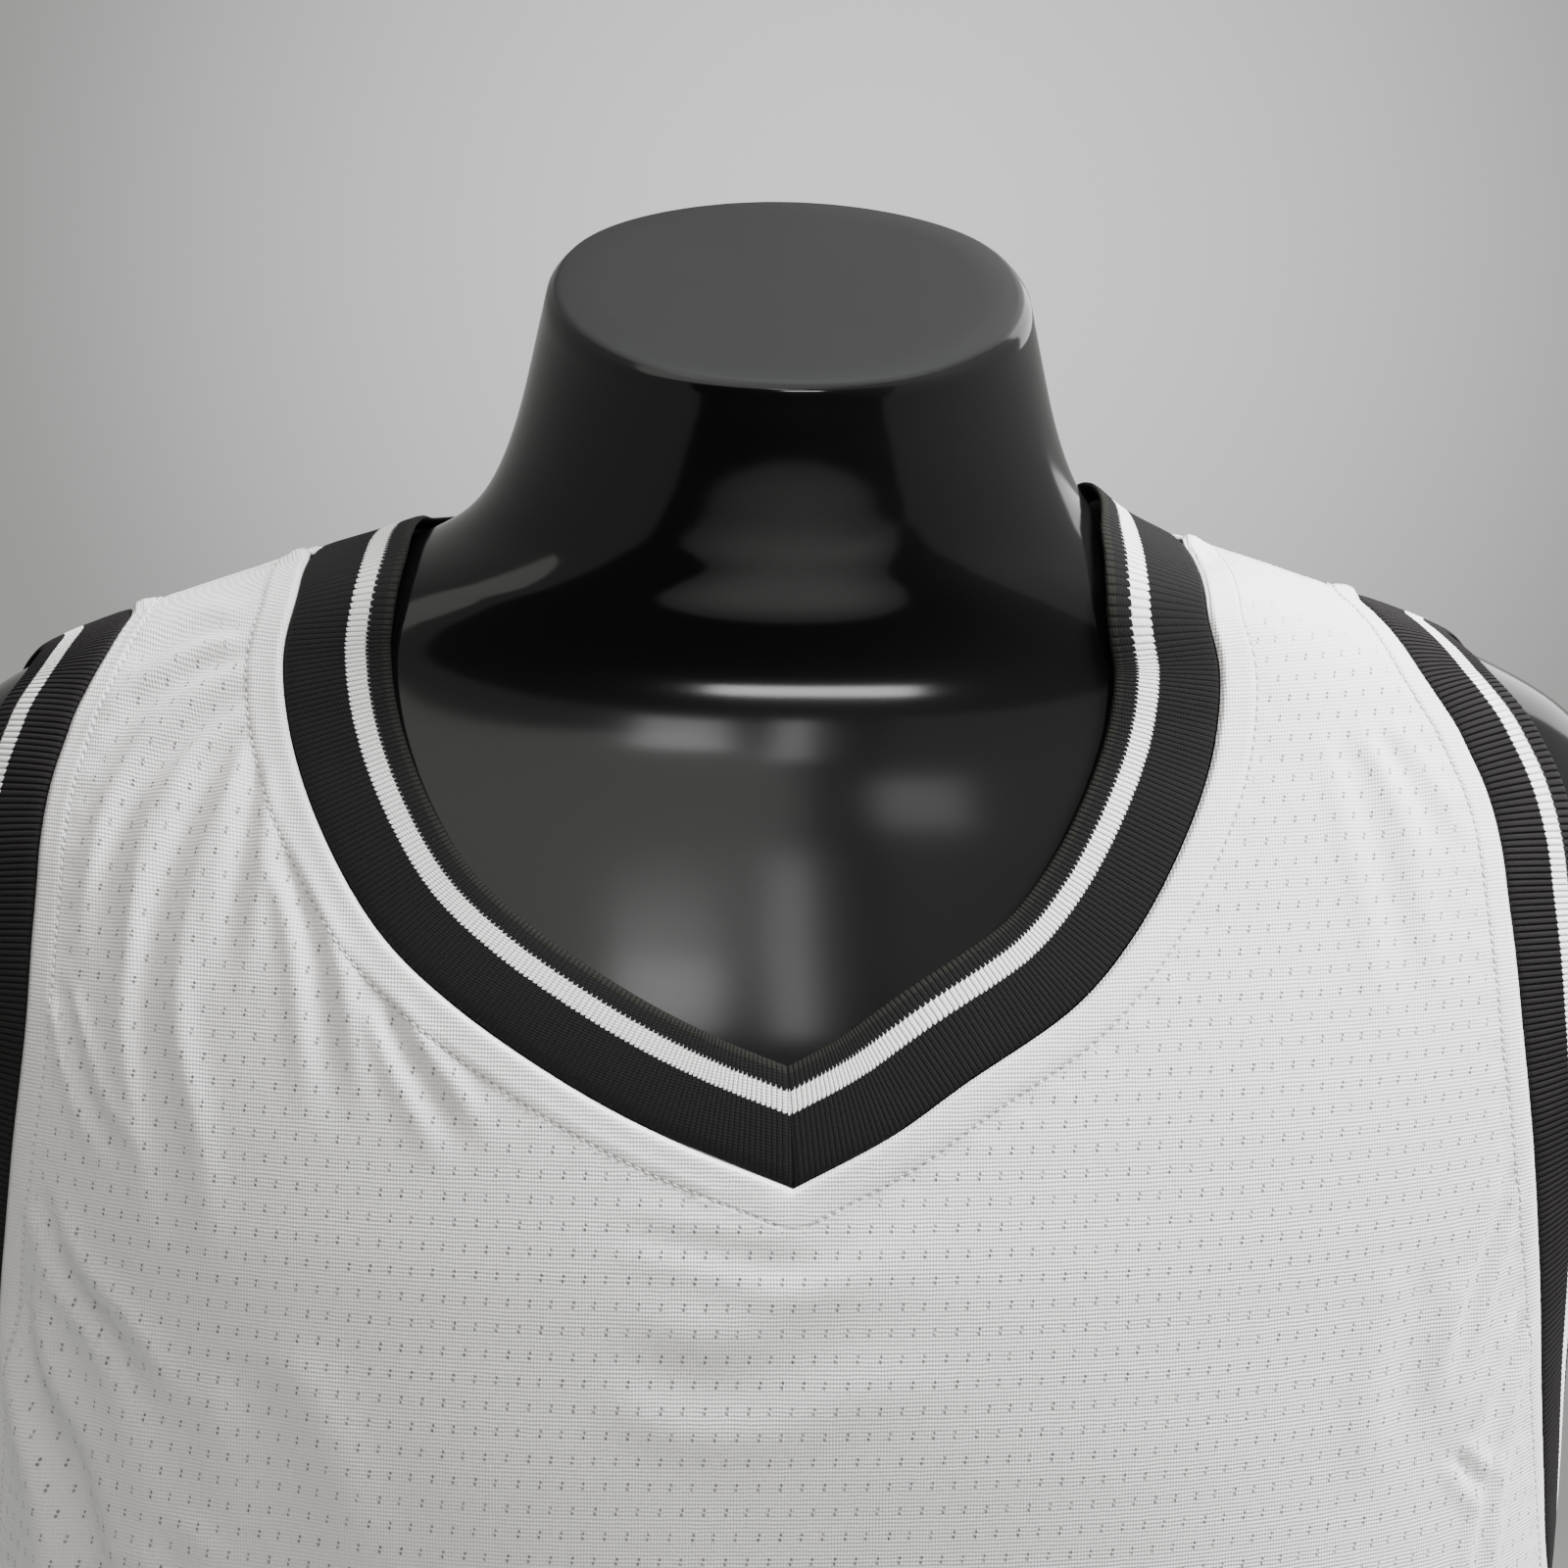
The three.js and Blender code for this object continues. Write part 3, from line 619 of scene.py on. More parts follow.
class Pattern:
    """The jersey's cut on its surface: its seams, its flat coordinates and its folds."""

    def __init__(self) -> None:
        """Lays out the seams and the tables of flat lengths."""
        self.cloth = ClothSurface(CLOTH_SECTIONS)
        self.neck = Seam(self.cloth, self._neck_points(), closed=False)
        self.arms = {side: Seam(self.cloth, self._arm_points(side), closed=True) for side in Side}
        self.neck_tops = {
            side: self.neck.nearest(self._shoulder_point(side, NECK_SHOULDER))
            for side in Side
        }
        self.arm_tops = {
            side: self.arms[side].nearest(self._shoulder_point(side, ARM_SHOULDER))
            for side in Side
        }
        self._ups = np.linspace(HEM_HEIGHT, RING_TOP, RING_ROWS)
        self._turns = np.linspace(0, WIDEST_TURN, WIDEST_TURN + 1)
        self._arcs = {face: self._ring_lengths(face) for face in Face}
        self._risers = np.linspace(HEM_HEIGHT, RISE_TOP, RISE_ROWS)
        self._rises = {face: self._rise_lengths(face) for face in Face}

    def _shoulder_point(self, side: Side, place: Shoulder) -> np.ndarray:
        """Where a seam crosses the shoulder ridge."""
        return self.cloth.ridge(side.value * place.half - place.slip)

    def _neck_points(self) -> np.ndarray:
        """The neckline's places.

        Returns:
            Points from the tip of the V, over the right shoulder and round to the tip again.
        """
        halves = []
        for side in (Side.RIGHT, Side.LEFT):
            front = [self.cloth.across(r.up, side.value * r.half - r.slip, Face.FRONT) for r in NECK_FRONT]
            back = [self.cloth.across(r.up, side.value * r.half - r.slip, Face.BACK) for r in NECK_BACK]
            shoulder = self._shoulder_point(side, NECK_SHOULDER)
            tip = self.cloth.point(V_TIP_HEIGHT, 0)
            halves.append([tip, *front, shoulder, *back, self.cloth.centre_back(BACK_NECK_HEIGHT)])
        right, left = halves
        return np.array(right + left[-2::-1])

    def _arm_points(self, side: Side) -> np.ndarray:
        """An armhole's places.

        Args:
            side: whose arm it is for.

        Returns:
            Points from the underarm up the front, over the shoulder and down the back.
        """
        front = [self.cloth.across(r.up, side.value * r.front - r.slip, Face.FRONT) for r in ARM_ROWS]
        back = [self.cloth.across(r.up, side.value * r.back - r.slip, Face.BACK) for r in ARM_ROWS]
        underarm = self.cloth.point(UNDERARM_HEIGHT, side.value * QUARTER)
        return np.array([underarm, *front, self._shoulder_point(side, ARM_SHOULDER), *reversed(back)])

    def _ring_lengths(self, face: Face) -> np.ndarray:
        """Lengths along level rings from a panel's middle.

        Args:
            face: the panel.

        Returns:
            A row for each height and a column for each turn.
        """
        turns = self._turns if face is Face.FRONT else HALF_TURN - self._turns
        rings = self.cloth.point(self._ups[:, None], turns[None])
        steps = np.linalg.norm(np.diff(rings, axis=1), axis=-1)
        return np.concatenate([np.zeros((len(self._ups), 1)), np.cumsum(steps, axis=1)], axis=1)

    def _rise_lengths(self, face: Face) -> np.ndarray:
        """Lengths up a panel from the hem."""
        line = self.cloth.across(self._risers, RISE_LINE, face)
        return np.concatenate([[0], np.cumsum(np.linalg.norm(np.diff(line, axis=0), axis=1))])

    def flat(self, p: np.ndarray, face: Face) -> np.ndarray:
        """The place of each point in the flat cut, across from the middle and up from the hem.

        Args:
            p: points in rows.
            face: the panel that they belong to.

        Returns:
            Two numbers for each point, in millimetres.
        """
        limit = NEARLY_ALL * self.cloth.half(RING_TOP)
        twin = self.cloth.across(RING_TOP, np.clip(p[:, 0], -limit, limit), face)
        turn = np.where(p[:, 2] > RING_TOP, self.cloth.turn_of(twin), self.cloth.turn_of(p))
        turn = turn if face is Face.FRONT else np.sign(turn) * (HALF_TURN - np.abs(turn))
        row = np.interp(p[:, 2], self._ups, np.arange(len(self._ups)))
        column = np.interp(np.abs(turn), self._turns, np.arange(len(self._turns)))
        low_row = np.minimum(row.astype(int), len(self._ups) - 2)
        low_column = np.minimum(column.astype(int), len(self._turns) - 2)
        r, c = row - low_row, column - low_column
        arcs = self._arcs[face]
        lower = arcs[low_row, low_column] * (1 - c) + arcs[low_row, low_column + 1] * c
        upper = arcs[low_row + 1, low_column] * (1 - c) + arcs[low_row + 1, low_column + 1] * c
        rise = np.interp(p[:, 2], self._risers, self._rises[face])
        return np.stack([np.sign(turn) * (lower * (1 - r) + upper * r), rise], -1)

    def boundaries(self, p: np.ndarray) -> dict[str, Boundary]:
        """The distances of points from the neckline, the armholes, and the side and shoulder seams.

        Args:
            p: points in rows.

        Returns:
            The boundaries by name: neck, arm, shoulder and side.
        """
        arms = [self.arms[side].measure(p) for side in Side]
        nearer = arms[0].away < arms[1].away
        arm = Boundary(*(np.where(nearer, a, b) for a, b in zip(arms[0], arms[1])))
        low = p[:, 2] < UNDERARM_HEIGHT + SIDE_SEAM_PAST
        side = np.hypot(p[:, 1], np.maximum(0, p[:, 2] - UNDERARM_HEIGHT))
        side = np.where(low & (np.abs(p[:, 0]) > SIDE_SEAM_OUT), side, FAR)
        ridge_up = np.interp(np.abs(p[:, 0]), *self._ridge_table())
        middle = self.cloth.section(ridge_up)[1]
        shoulder = np.hypot(p[:, 1] - middle, p[:, 2] - ridge_up)
        shoulder = np.where(p[:, 2] > SHOULDER_LOW, shoulder, FAR)
        return {
            "neck": self.neck.measure(p),
            "arm": arm,
            "shoulder": Boundary(shoulder, p[:, 0]),
            "side": Boundary(side, p[:, 2]),
        }

    def _ridge_table(self) -> tuple[np.ndarray, np.ndarray]:
        """Distances across and the shoulder ridge's height at each."""
        ups = np.linspace(*RIDGE_ROWS)
        return self.cloth.half(ups), ups

    def height(self, p: np.ndarray, face: Face, near: dict[str, Boundary]) -> np.ndarray:
        """How far the cloth stands off its smooth surface because of folds, creases and seams.

        Args:
            p: points in rows.
            face: the panel that they belong to.
            near: their boundaries.

        Returns:
            Heights in millimetres.
        """
        turn = self.cloth.turn_of(p)
        neck, arm, shoulder = near["neck"], near["arm"], near["shoulder"]
        hanging = np.zeros(len(p))
        for fold in HANGING_FOLDS:
            away = np.mod(turn - fold.turn + HALF_TURN, FULL_TURN) - HALF_TURN
            fall = smooth((fold.start - p[:, 2]) / (fold.start - HEM_HEIGHT))
            hanging += fold.height * fall * bell(away, fold.spread)
        hanging *= smooth(np.minimum(neck.away, arm.away) / FOLD_FADE)
        place = self.flat(p, face)
        creases = sum(self._crease(place, crease, face) for crease in CREASES[face])
        across, up = place[:, 0], place[:, 1]
        creases = creases + sum(r.height * np.sin(r.across * across + r.up * up + r.phase) for r in RIPPLES)
        for seam, (start, run) in ((neck, NECK_CREASE_FADE), (arm, ARM_CREASE_FADE)):
            creases = creases * smooth((seam.away - start) / run)
        seams = self._seam_relief(neck, NECK_RELIEF) + self._seam_relief(arm, ARM_RELIEF)
        height, spread = RIDGE_SEAM
        seams = seams + height * bell(shoulder.away, spread)
        height, spread, off = SEAM_LUMP
        beside = sum(bell(seam.away - off, spread) for seam in (neck, arm))
        seams = seams + height * bell(shoulder.away, spread) * beside
        height, margin, fall = HEM_TURNING
        hem = height * smooth((HEM_STITCHES_UP[1] + margin - (p[:, 2] - HEM_HEIGHT)) / fall)
        total = hanging + creases + seams + hem
        start, run = CLOSE_FROM
        close = smooth((p[:, 2] - start) / run)
        stop = -CLOSE_ROOM * close - LOOSE_ROOM * (1 - close)
        return stop + np.logaddexp(0, (total - stop) * STOP_SHARPNESS) / STOP_SHARPNESS

    @staticmethod
    def _seam_relief(near: Boundary, relief: SeamRelief) -> np.ndarray:
        """The cloth's relief along one kind of seam.

        Args:
            near: how far places lie from the seam.
            relief: how the cloth puffs and puckers beside it.

        Returns:
            Heights in millimetres.
        """
        inside = smooth((relief.stitches + relief.margin - near.away) / relief.fall)
        puff = relief.puff * smooth(near.away / relief.rise) * inside
        past = bell(near.away - relief.stitches - PUCKER_SPREAD, PUCKER_SPREAD)
        return puff + PUCKER * np.sin(near.along / relief.wave) * past

    def _crease(self, place: np.ndarray, crease: Crease, face: Face) -> np.ndarray:
        """The height of one crease: a trough with a soft bank on each side.

        Args:
            place: places of the flat cut.
            crease: the crease's path and size.
            face: the panel that it is on.

        Returns:
            Heights in millimetres.
        """
        path = np.array([self.cloth.across(up, x, face) for x, up in crease.path])
        flat_path = np.column_stack([self.flat(path, face), np.zeros(len(path))])
        line = curve_through(flat_path, False, CREASE_STEPS)[:, :2]
        gaps = np.linalg.norm(place[:, None] - line[None], axis=-1)
        k = np.clip(gaps.argmin(1), 1, len(line) - 2)
        way = line[k + 1] - line[k - 1]
        way /= np.linalg.norm(way, axis=1, keepdims=True)
        offset = place - line[k]
        signed = way[:, 0] * offset[:, 1] - way[:, 1] * offset[:, 0]
        t = (k + (offset * way).sum(1) / np.linalg.norm(line[1] - line[0])) / (len(line) - 1)
        ends = smooth(t / CREASE_HEAD) * smooth((1 - t) / CREASE_TAIL)
        width = crease.width * (CREASE_START_WIDTH + CREASE_WIDENING * np.clip(t, 0, 1))
        trough = bell(signed, width)
        banks = bell(np.abs(signed) - BANK_OFF * width, BANK_WIDTH * width)
        return crease.depth * ends * (BANK_SHARE * banks - TROUGH_SHARE * trough)

    def raised(self, p: np.ndarray, face: Face, lift: float = 0.0) -> tuple[np.ndarray, np.ndarray]:
        """Points of the finished cloth's outside over places of its smooth surface, and directions.

        Args:
            p: points in rows.
            face: the panel that they belong to.
            lift: how much farther out the points are.

        Returns:
            The points and the outward directions.
        """
        height = self.height(p, face, self.boundaries(p))
        normal = self.cloth.normal(p)
        return p + normal * (height + lift)[:, None], normal


class Sheet:
    """Points of a sheet of cloth and the quads between them."""

    def __init__(self) -> None:
        """Starts with no points."""
        self.parts: list[np.ndarray] = []
        self.quads: list[np.ndarray] = []
        self.count = 0

    def add(self, grid: np.ndarray, shared: np.ndarray, flip: bool) -> np.ndarray:
        """Adds a grid of points.

        Args:
            grid: points in rows and columns.
            shared: the numbers of the corners that are there already, and -1 elsewhere.
            flip: whether the grid's outside is turned round.

        Returns:
            The number of each corner.
        """
        ids = shared.copy()
        fresh = ids < 0
        ids[fresh] = self.count + np.arange(int(fresh.sum()))
        self.count += int(fresh.sum())
        self.parts.append(grid[fresh])
        quads = np.stack([ids[:-1, :-1], ids[:-1, 1:], ids[1:, 1:], ids[1:, :-1]], -1).reshape(-1, 4)
        self.quads.append(quads[:, ::-1] if flip else quads)
        return ids

    def points(self) -> np.ndarray:
        """All points, in the order of their numbers."""
        return np.vstack(self.parts)

    def faces(self) -> np.ndarray:
        """All quads."""
        return np.vstack(self.quads)


def shell_faces(quads: np.ndarray, count: int) -> np.ndarray:
    """The quads of a closed shell: its outside, its inside and its rim.

    Args:
        quads: the quads of the outside.
        count: the number of points in each skin.

    Returns:
        Quads whose inner corners are numbered from count on.
    """
    edges = np.vstack([quads[:, [0, 1]], quads[:, [1, 2]], quads[:, [2, 3]], quads[:, [3, 0]]])
    keys, back = edges[:, 0] * count + edges[:, 1], edges[:, 1] * count + edges[:, 0]
    rim = edges[~np.isin(back, keys)]
    around = np.stack([rim[:, 1], rim[:, 0], rim[:, 0] + count, rim[:, 1] + count], -1)
    return np.vstack([quads, quads[:, ::-1] + count, around])


def make_piece(
    name: str, points: np.ndarray, faces: list, material: bpy.types.Material
) -> bpy.types.Object:
    """A smooth mesh object that rides with the part.

    Args:
        name: the piece's name.
        points: its points in millimetres.
        faces: its faces as lists of point numbers.
        material: its finish.

    Returns:
        The new object.
    """
    mesh = bpy.data.meshes.new(name)
    mesh.from_pydata((points * MM).tolist(), [], faces)
    mesh.polygons.foreach_set("use_smooth", np.ones(len(mesh.polygons), bool))
    mesh.materials.append(material)
    mesh.update()
    piece = bpy.data.objects.new(name, mesh)
    bpy.context.scene.collection.objects.link(piece)
    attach(piece, "root")
    return piece


def add_vectors(piece: bpy.types.Object, name: str, columns: list[np.ndarray]) -> None:
    """Stores three numbers for each point, for the piece's material to read.

    Args:
        piece: the object whose mesh gets them.
        name: the attribute's name.
        columns: up to three columns.
    """
    table = np.zeros((len(piece.data.vertices), 3), np.float32)
    for k, column in enumerate(columns):
        table[:, k] = column
    attribute = piece.data.attributes.new(name, "FLOAT_VECTOR", "POINT")
    attribute.data.foreach_set("vector", table.ravel())


def add_map(piece: bpy.types.Object, places: np.ndarray) -> None:
    """Gives the piece a UV map of its flat cut, in metres.

    Args:
        piece: the object whose mesh gets it.
        places: the place of each point in the flat cut, in millimetres.
    """
    layer = piece.data.uv_layers.new(name="cut")
    corners = np.zeros(len(piece.data.loops), int)
    piece.data.loops.foreach_get("vertex_index", corners)
    layer.data.foreach_set("uv", (places[corners] * MM).astype(np.float32).ravel())


class Value:
    """A number that varies over a surface, with arithmetic that adds Math nodes."""

    def __init__(self, nodes: "Nodes", socket: bpy.types.NodeSocket) -> None:
        """Wraps an output socket."""
        self.nodes, self.socket = nodes, socket

    def __add__(self, other: "Value | float") -> "Value":
        """This number plus another."""
        return self.nodes.math("ADD", self, other)

    def __sub__(self, other: "Value | float") -> "Value":
        """This number minus another."""
        return self.nodes.math("SUBTRACT", self, other)

    def __rsub__(self, other: float) -> "Value":
        """Another number minus this one."""
        return self.nodes.math("SUBTRACT", other, self)

    def __mul__(self, other: "Value | float") -> "Value":
        """This number times another."""
        return self.nodes.math("MULTIPLY", self, other)

    def __truediv__(self, other: "Value | float") -> "Value":
        """This number divided by another."""
        return self.nodes.math("DIVIDE", self, other)

    def __mod__(self, other: float) -> "Value":
        """What is left of this number after whole steps of another."""
        return self.nodes.math("FLOORED_MODULO", self, other)

    def __abs__(self) -> "Value":
        """This number without its sign."""
        return self.nodes.math("ABSOLUTE", self)

    def below(self, low: float, high: float) -> "Value":
        """1 under the low limit, softly down to 0 at the high one."""
        return self.nodes.step(self, low, high, 1, 0)

    def above(self, low: float, high: float) -> "Value":
        """0 under the low limit, softly up to 1 at the high one."""
        return self.nodes.step(self, low, high, 0, 1)

    __radd__ = __add__
    __rmul__ = __mul__


class Nodes:
    """A node tree and the means to add to it."""

    def __init__(self, tree: bpy.types.NodeTree) -> None:
        """Starts with the tree emptied."""
        self.tree = tree
        self.tree.nodes.clear()

    def node(self, kind: str, settings: dict | None = None, sockets: dict | None = None) -> bpy.types.Node:
        """Adds a node.

        Args:
            kind: the node's type.
            settings: its properties, which are set first.
            sockets: values or links for its input sockets, by identifier, name or number.

        Returns:
            The new node.
        """
        made = self.tree.nodes.new(kind)
        for key, value in (settings or {}).items():
            setattr(made, key, value)
        for key, value in (sockets or {}).items():
            target = self._input(made, key)
            if isinstance(value, Value):
                value = value.socket
            if isinstance(value, bpy.types.NodeSocket):
                self.tree.links.new(value, target)
            else:
                target.default_value = value
        return made

    @staticmethod
    def _input(made: bpy.types.Node, key: str | int) -> bpy.types.NodeSocket:
        """An input socket of a node.

        Args:
            made: the node.
            key: the socket's identifier, or else its name or number.

        Returns:
            The socket.
        """
        for socket in made.inputs:
            if socket.identifier == key:
                return socket
        return made.inputs[key]

    def math(self, operation: str, *values: "Value | float") -> Value:
        """A Math node on numbers."""
        made = self.node("ShaderNodeMath", {"operation": operation}, dict(enumerate(values)))
        return Value(self, made.outputs[0])

    def step(self, value: Value, low: float, high: float, start: float, end: float) -> Value:
        """A soft step of a number between two limits.

        Args:
            value: the number.
            low: the lower limit.
            high: the upper limit.
            start: what it gives at the lower limit and under it.
            end: what it gives at the upper limit and over it.

        Returns:
            The stepped number.
        """
        sockets = {"Value": value, "From Min": low, "From Max": high, "To Min": start, "To Max": end}
        made = self.node("ShaderNodeMapRange", {"interpolation_type": "SMOOTHSTEP"}, sockets)
        return Value(self, made.outputs[0])

    def noise(self, vector: bpy.types.NodeSocket, scale: float, detail: float = 2.0) -> Value:
        """Soft noise from 0 to 1."""
        sockets = {"Vector": vector, "Scale": scale, "Detail": detail}
        return Value(self, self.node("ShaderNodeTexNoise", None, sockets).outputs[0])

    def parts(self, vector: bpy.types.NodeSocket) -> list[Value]:
        """The three numbers of a vector."""
        made = self.node("ShaderNodeSeparateXYZ", None, {0: vector})
        return [Value(self, socket) for socket in made.outputs]

    def stored(self, name: str) -> list[Value]:
        """The three numbers that the piece stores at each point under a name."""
        made = self.node("ShaderNodeAttribute", {"attribute_name": name})
        return self.parts(made.outputs["Vector"])

    def cut(self) -> bpy.types.NodeSocket:
        """The piece's flat cut."""
        return self.node("ShaderNodeUVMap", {"uv_map": "cut"}).outputs[0]

    def place(self) -> bpy.types.NodeSocket:
        """The piece's own coordinates."""
        return self.node("ShaderNodeTexCoord").outputs["Object"]

    def mix(self, share: Value, low: object, high: object) -> bpy.types.NodeSocket:
        """A colour between two others.

        Args:
            share: how much there is of the second colour.
            low: the first colour, or a link to one.
            high: the second colour, or a link to one.

        Returns:
            The mixed colour's socket.
        """
        sockets = {"Factor_Float": share, "A_Color": low, "B_Color": high}
        made = self.node("ShaderNodeMix", {"data_type": "RGBA"}, sockets)
        return next(s for s in made.outputs if s.identifier == "Result_Color")

    def bump(self, height: Value, distance: float) -> bpy.types.NodeSocket:
        """A normal from a height that is counted in units of a distance."""
        sockets = {"Height": height, "Distance": distance, "Strength": 1.0}
        return self.node("ShaderNodeBump", None, sockets).outputs[0]


class Finish(Nodes):
    """A material and its nodes."""

    def __init__(self, name: str) -> None:
        """Starts an empty node material."""
        self.material = bpy.data.materials.new(name)
        self.material.use_nodes = True
        super().__init__(self.material.node_tree)

    def end(self, shader: bpy.types.Node) -> bpy.types.Material:
        """Ends the material in a shader's output."""
        self.node("ShaderNodeOutputMaterial", None, {"Surface": shader.outputs[0]})
        return self.material

    def shade(self, sockets: dict) -> bpy.types.Material:
        """Ends the material in a Principled shader with the given values and links."""
        return self.end(self.node("ShaderNodeBsdfPrincipled", None, sockets))


@dataclass(frozen=True)
class EyeletKnit:
    """White polyester knit with staggered pairs of small holes and fine level courses.

    The pairs of limits are in millimetres: from a seam, the hem or the shoulder, where the knit
    turns from plain to open.
    """

    white: tuple = (0.80, 0.785, 0.778, 1)
    # The hole colour is the dark form seen through the eyelets; the needle holes between stitches are also
    # mixed towards it, as painted shade.
    hole: tuple = (0.16, 0.15, 0.15, 1)
    # The shade colour is what the knit darkens towards: painted shade in the troughs of its courses and
    # wales, in its grooves and at the bands, plus its own uneven tone.
    shade: tuple = (0.60, 0.578, 0.568, 1)
    pitch: float = 5.5
    row: float = 6.6
    course: float = 1.05
    wale: float = 0.8
    roughness: float = 0.82
    open_off_neck: tuple[float, float] = (10.5, 13)
    open_off_arm: tuple[float, float] = (8.5, 13)
    open_off_shoulder: tuple[float, float] = (26, 48)
    open_off_side: tuple[float, float] = (4, 7)
    open_off_hem: tuple[float, float] = (25, 29)
    seam_groove: tuple[float, float] = (0.2, 1.4)
    stitch_groove: tuple[float, float] = (0.1, 0.9)
    edge_groove: tuple[float, float] = (0.1, 1.2)
    stretch_from: float = 600.0
    stretch: float = 0.00072
    hole_lean: float = 0.13
    hole_lift: float = 0.66
    hole_width: float = 0.33
    hole_height: float = 0.45
    wander: float = 0.5

    def build(self) -> bpy.types.Material:
        """Makes the material.

        Returns:
            The finished material.
        """
        finish = Finish("eyelet_knit")
        across, up, _ = finish.parts(finish.cut())
        across, up = across * MM_IN_METRE, up * MM_IN_METRE
        neck_off, neck_along, arm_off = finish.stored("seams")
        shoulder_off, side_off, arm_along = finish.stored("edges")
        wander = finish.noise(finish.cut(), 160, 1.0) - 0.5
        courses = finish.math("SINE", (up + wander * 0.5) * (math.tau / self.course))
        wales = finish.math("SINE", (across + wander * 0.4) * (math.tau / self.wale))
        holes, thread = self._eyelets(finish, across, up)
        open_knit = neck_off.above(*self.open_off_neck) * arm_off.above(*self.open_off_arm)
        open_knit = open_knit * shoulder_off.above(*self.open_off_shoulder)
        open_knit = open_knit * up.above(*self.open_off_hem) * side_off.above(*self.open_off_side)
        holes = holes * open_knit
        # Needle holes between the stitches, which are painted darker below as painted shade.
        pits = self._pits(finish, neck_off - NECK_STITCH_OFF, neck_along)
        arm_pits = self._pits(finish, arm_off - ARM_STITCH_OFF, arm_along)
        pits = finish.math("MAXIMUM", pits, arm_pits * 0.6)
        # Along the stitch lines and the side and shoulder seams the knit is sunk by the bump and painted
        # darker: painted shade in the grooves.
        grooves = (
            abs(neck_off - NECK_STITCH_OFF).below(*self.stitch_groove) * 0.5
            + abs(arm_off - ARM_STITCH_OFF).below(*self.stitch_groove) * 0.4
            + side_off.below(*self.seam_groove) * 0.6
            + shoulder_off.below(*self.seam_groove) * 0.5
        )
        # Where the knit meets a band it is painted darker: painted shade in the gap between the parts.
        edge = finish.math("MINIMUM", neck_off, arm_off).below(*self.edge_groove)
        blotch = finish.noise(finish.cut(), 28, 3.0)
        # Painted shade darkens the troughs of the courses and wales, where the bump is lowest; the blotches
        # are the knit's own uneven tone.
        dim = (
            (courses * -0.5 + 0.5) * 0.13
            + (wales * -0.5 + 0.5) * 0.07
            + blotch * 0.08
            + grooves * 0.42
            + edge * 0.4
        )
        base = finish.mix(dim, self.white, self.shade)
        # The eyelets show the dark form through them; the needle holes are darkened as painted shade
        # between the stitches.
        dark = finish.math("MAXIMUM", holes * 0.9, pits * 0.45)
        height = (
            courses * 0.055
            + wales * 0.04
            + wander * 0.06
            + thread * open_knit * 0.1
            - holes * 0.4
            - pits * 0.35
            - grooves * 0.3
            - edge * 0.4
        )
        return finish.shade(
            {
                "Base Color": finish.mix(dark, base, self.hole),
                "Roughness": self.roughness,
                "Specular IOR Level": 0.3,
                "Sheen Weight": 0.15,
                "Sheen Roughness": 0.5,
                "Normal": finish.bump(height, MM),
            }
        )

    def _eyelets(self, finish: Finish, across: Value, up: Value) -> tuple[Value, Value]:
        """The pairs of holes, and the thread between the two of each.

        Args:
            finish: the material being made.
            across: millimetres across the cut.
            up: millimetres up the cut.

        Returns:
            Two masks from 0 to 1.
        """
        above = finish.math("MAXIMUM", up - self.stretch_from, 0.0)
        up = up + above * above * self.stretch
        row = finish.math("FLOOR", up / self.row)
        shifted = across + (row % 2.0) * (self.pitch / 2)
        column = finish.math("FLOOR", shifted / self.pitch)
        cell = finish.node("ShaderNodeCombineXYZ", None, {0: column, 1: row}).outputs[0]
        random = finish.node("ShaderNodeTexWhiteNoise", None, {"Vector": cell})
        vary = Value(finish, random.outputs["Value"])
        x = (shifted % self.pitch) - (self.pitch - self.wander) / 2 - vary * self.wander
        y = (up % self.row) - self.row / 2
        dots = []
        for sign in (1, -1):
            dx = (x - sign * self.hole_lean) / self.hole_width
            dy = (y - sign * self.hole_lift) / self.hole_height
            dots.append((dx * dx + dy * dy).below(0.5, 1.5))
        strength = vary * 0.3 + 0.7
        thread = (x * x / 0.25 + y * y / 0.09).below(0.4, 1.4)
        return finish.math("MAXIMUM", *dots) * strength, thread

    @staticmethod
    def _pits(finish: Finish, off: Value, along: Value) -> Value:
        """The needle holes of a line of stitches.

        Args:
            finish: the material being made.
            off: millimetres from the line.
            along: millimetres along it.

        Returns:
            A mask from 0 to 1.
        """
        step = (along % STITCH_PITCH) - STITCH_PITCH / 2
        return (off * off / 0.12 + step * step / 0.2).below(0.5, 1.5)


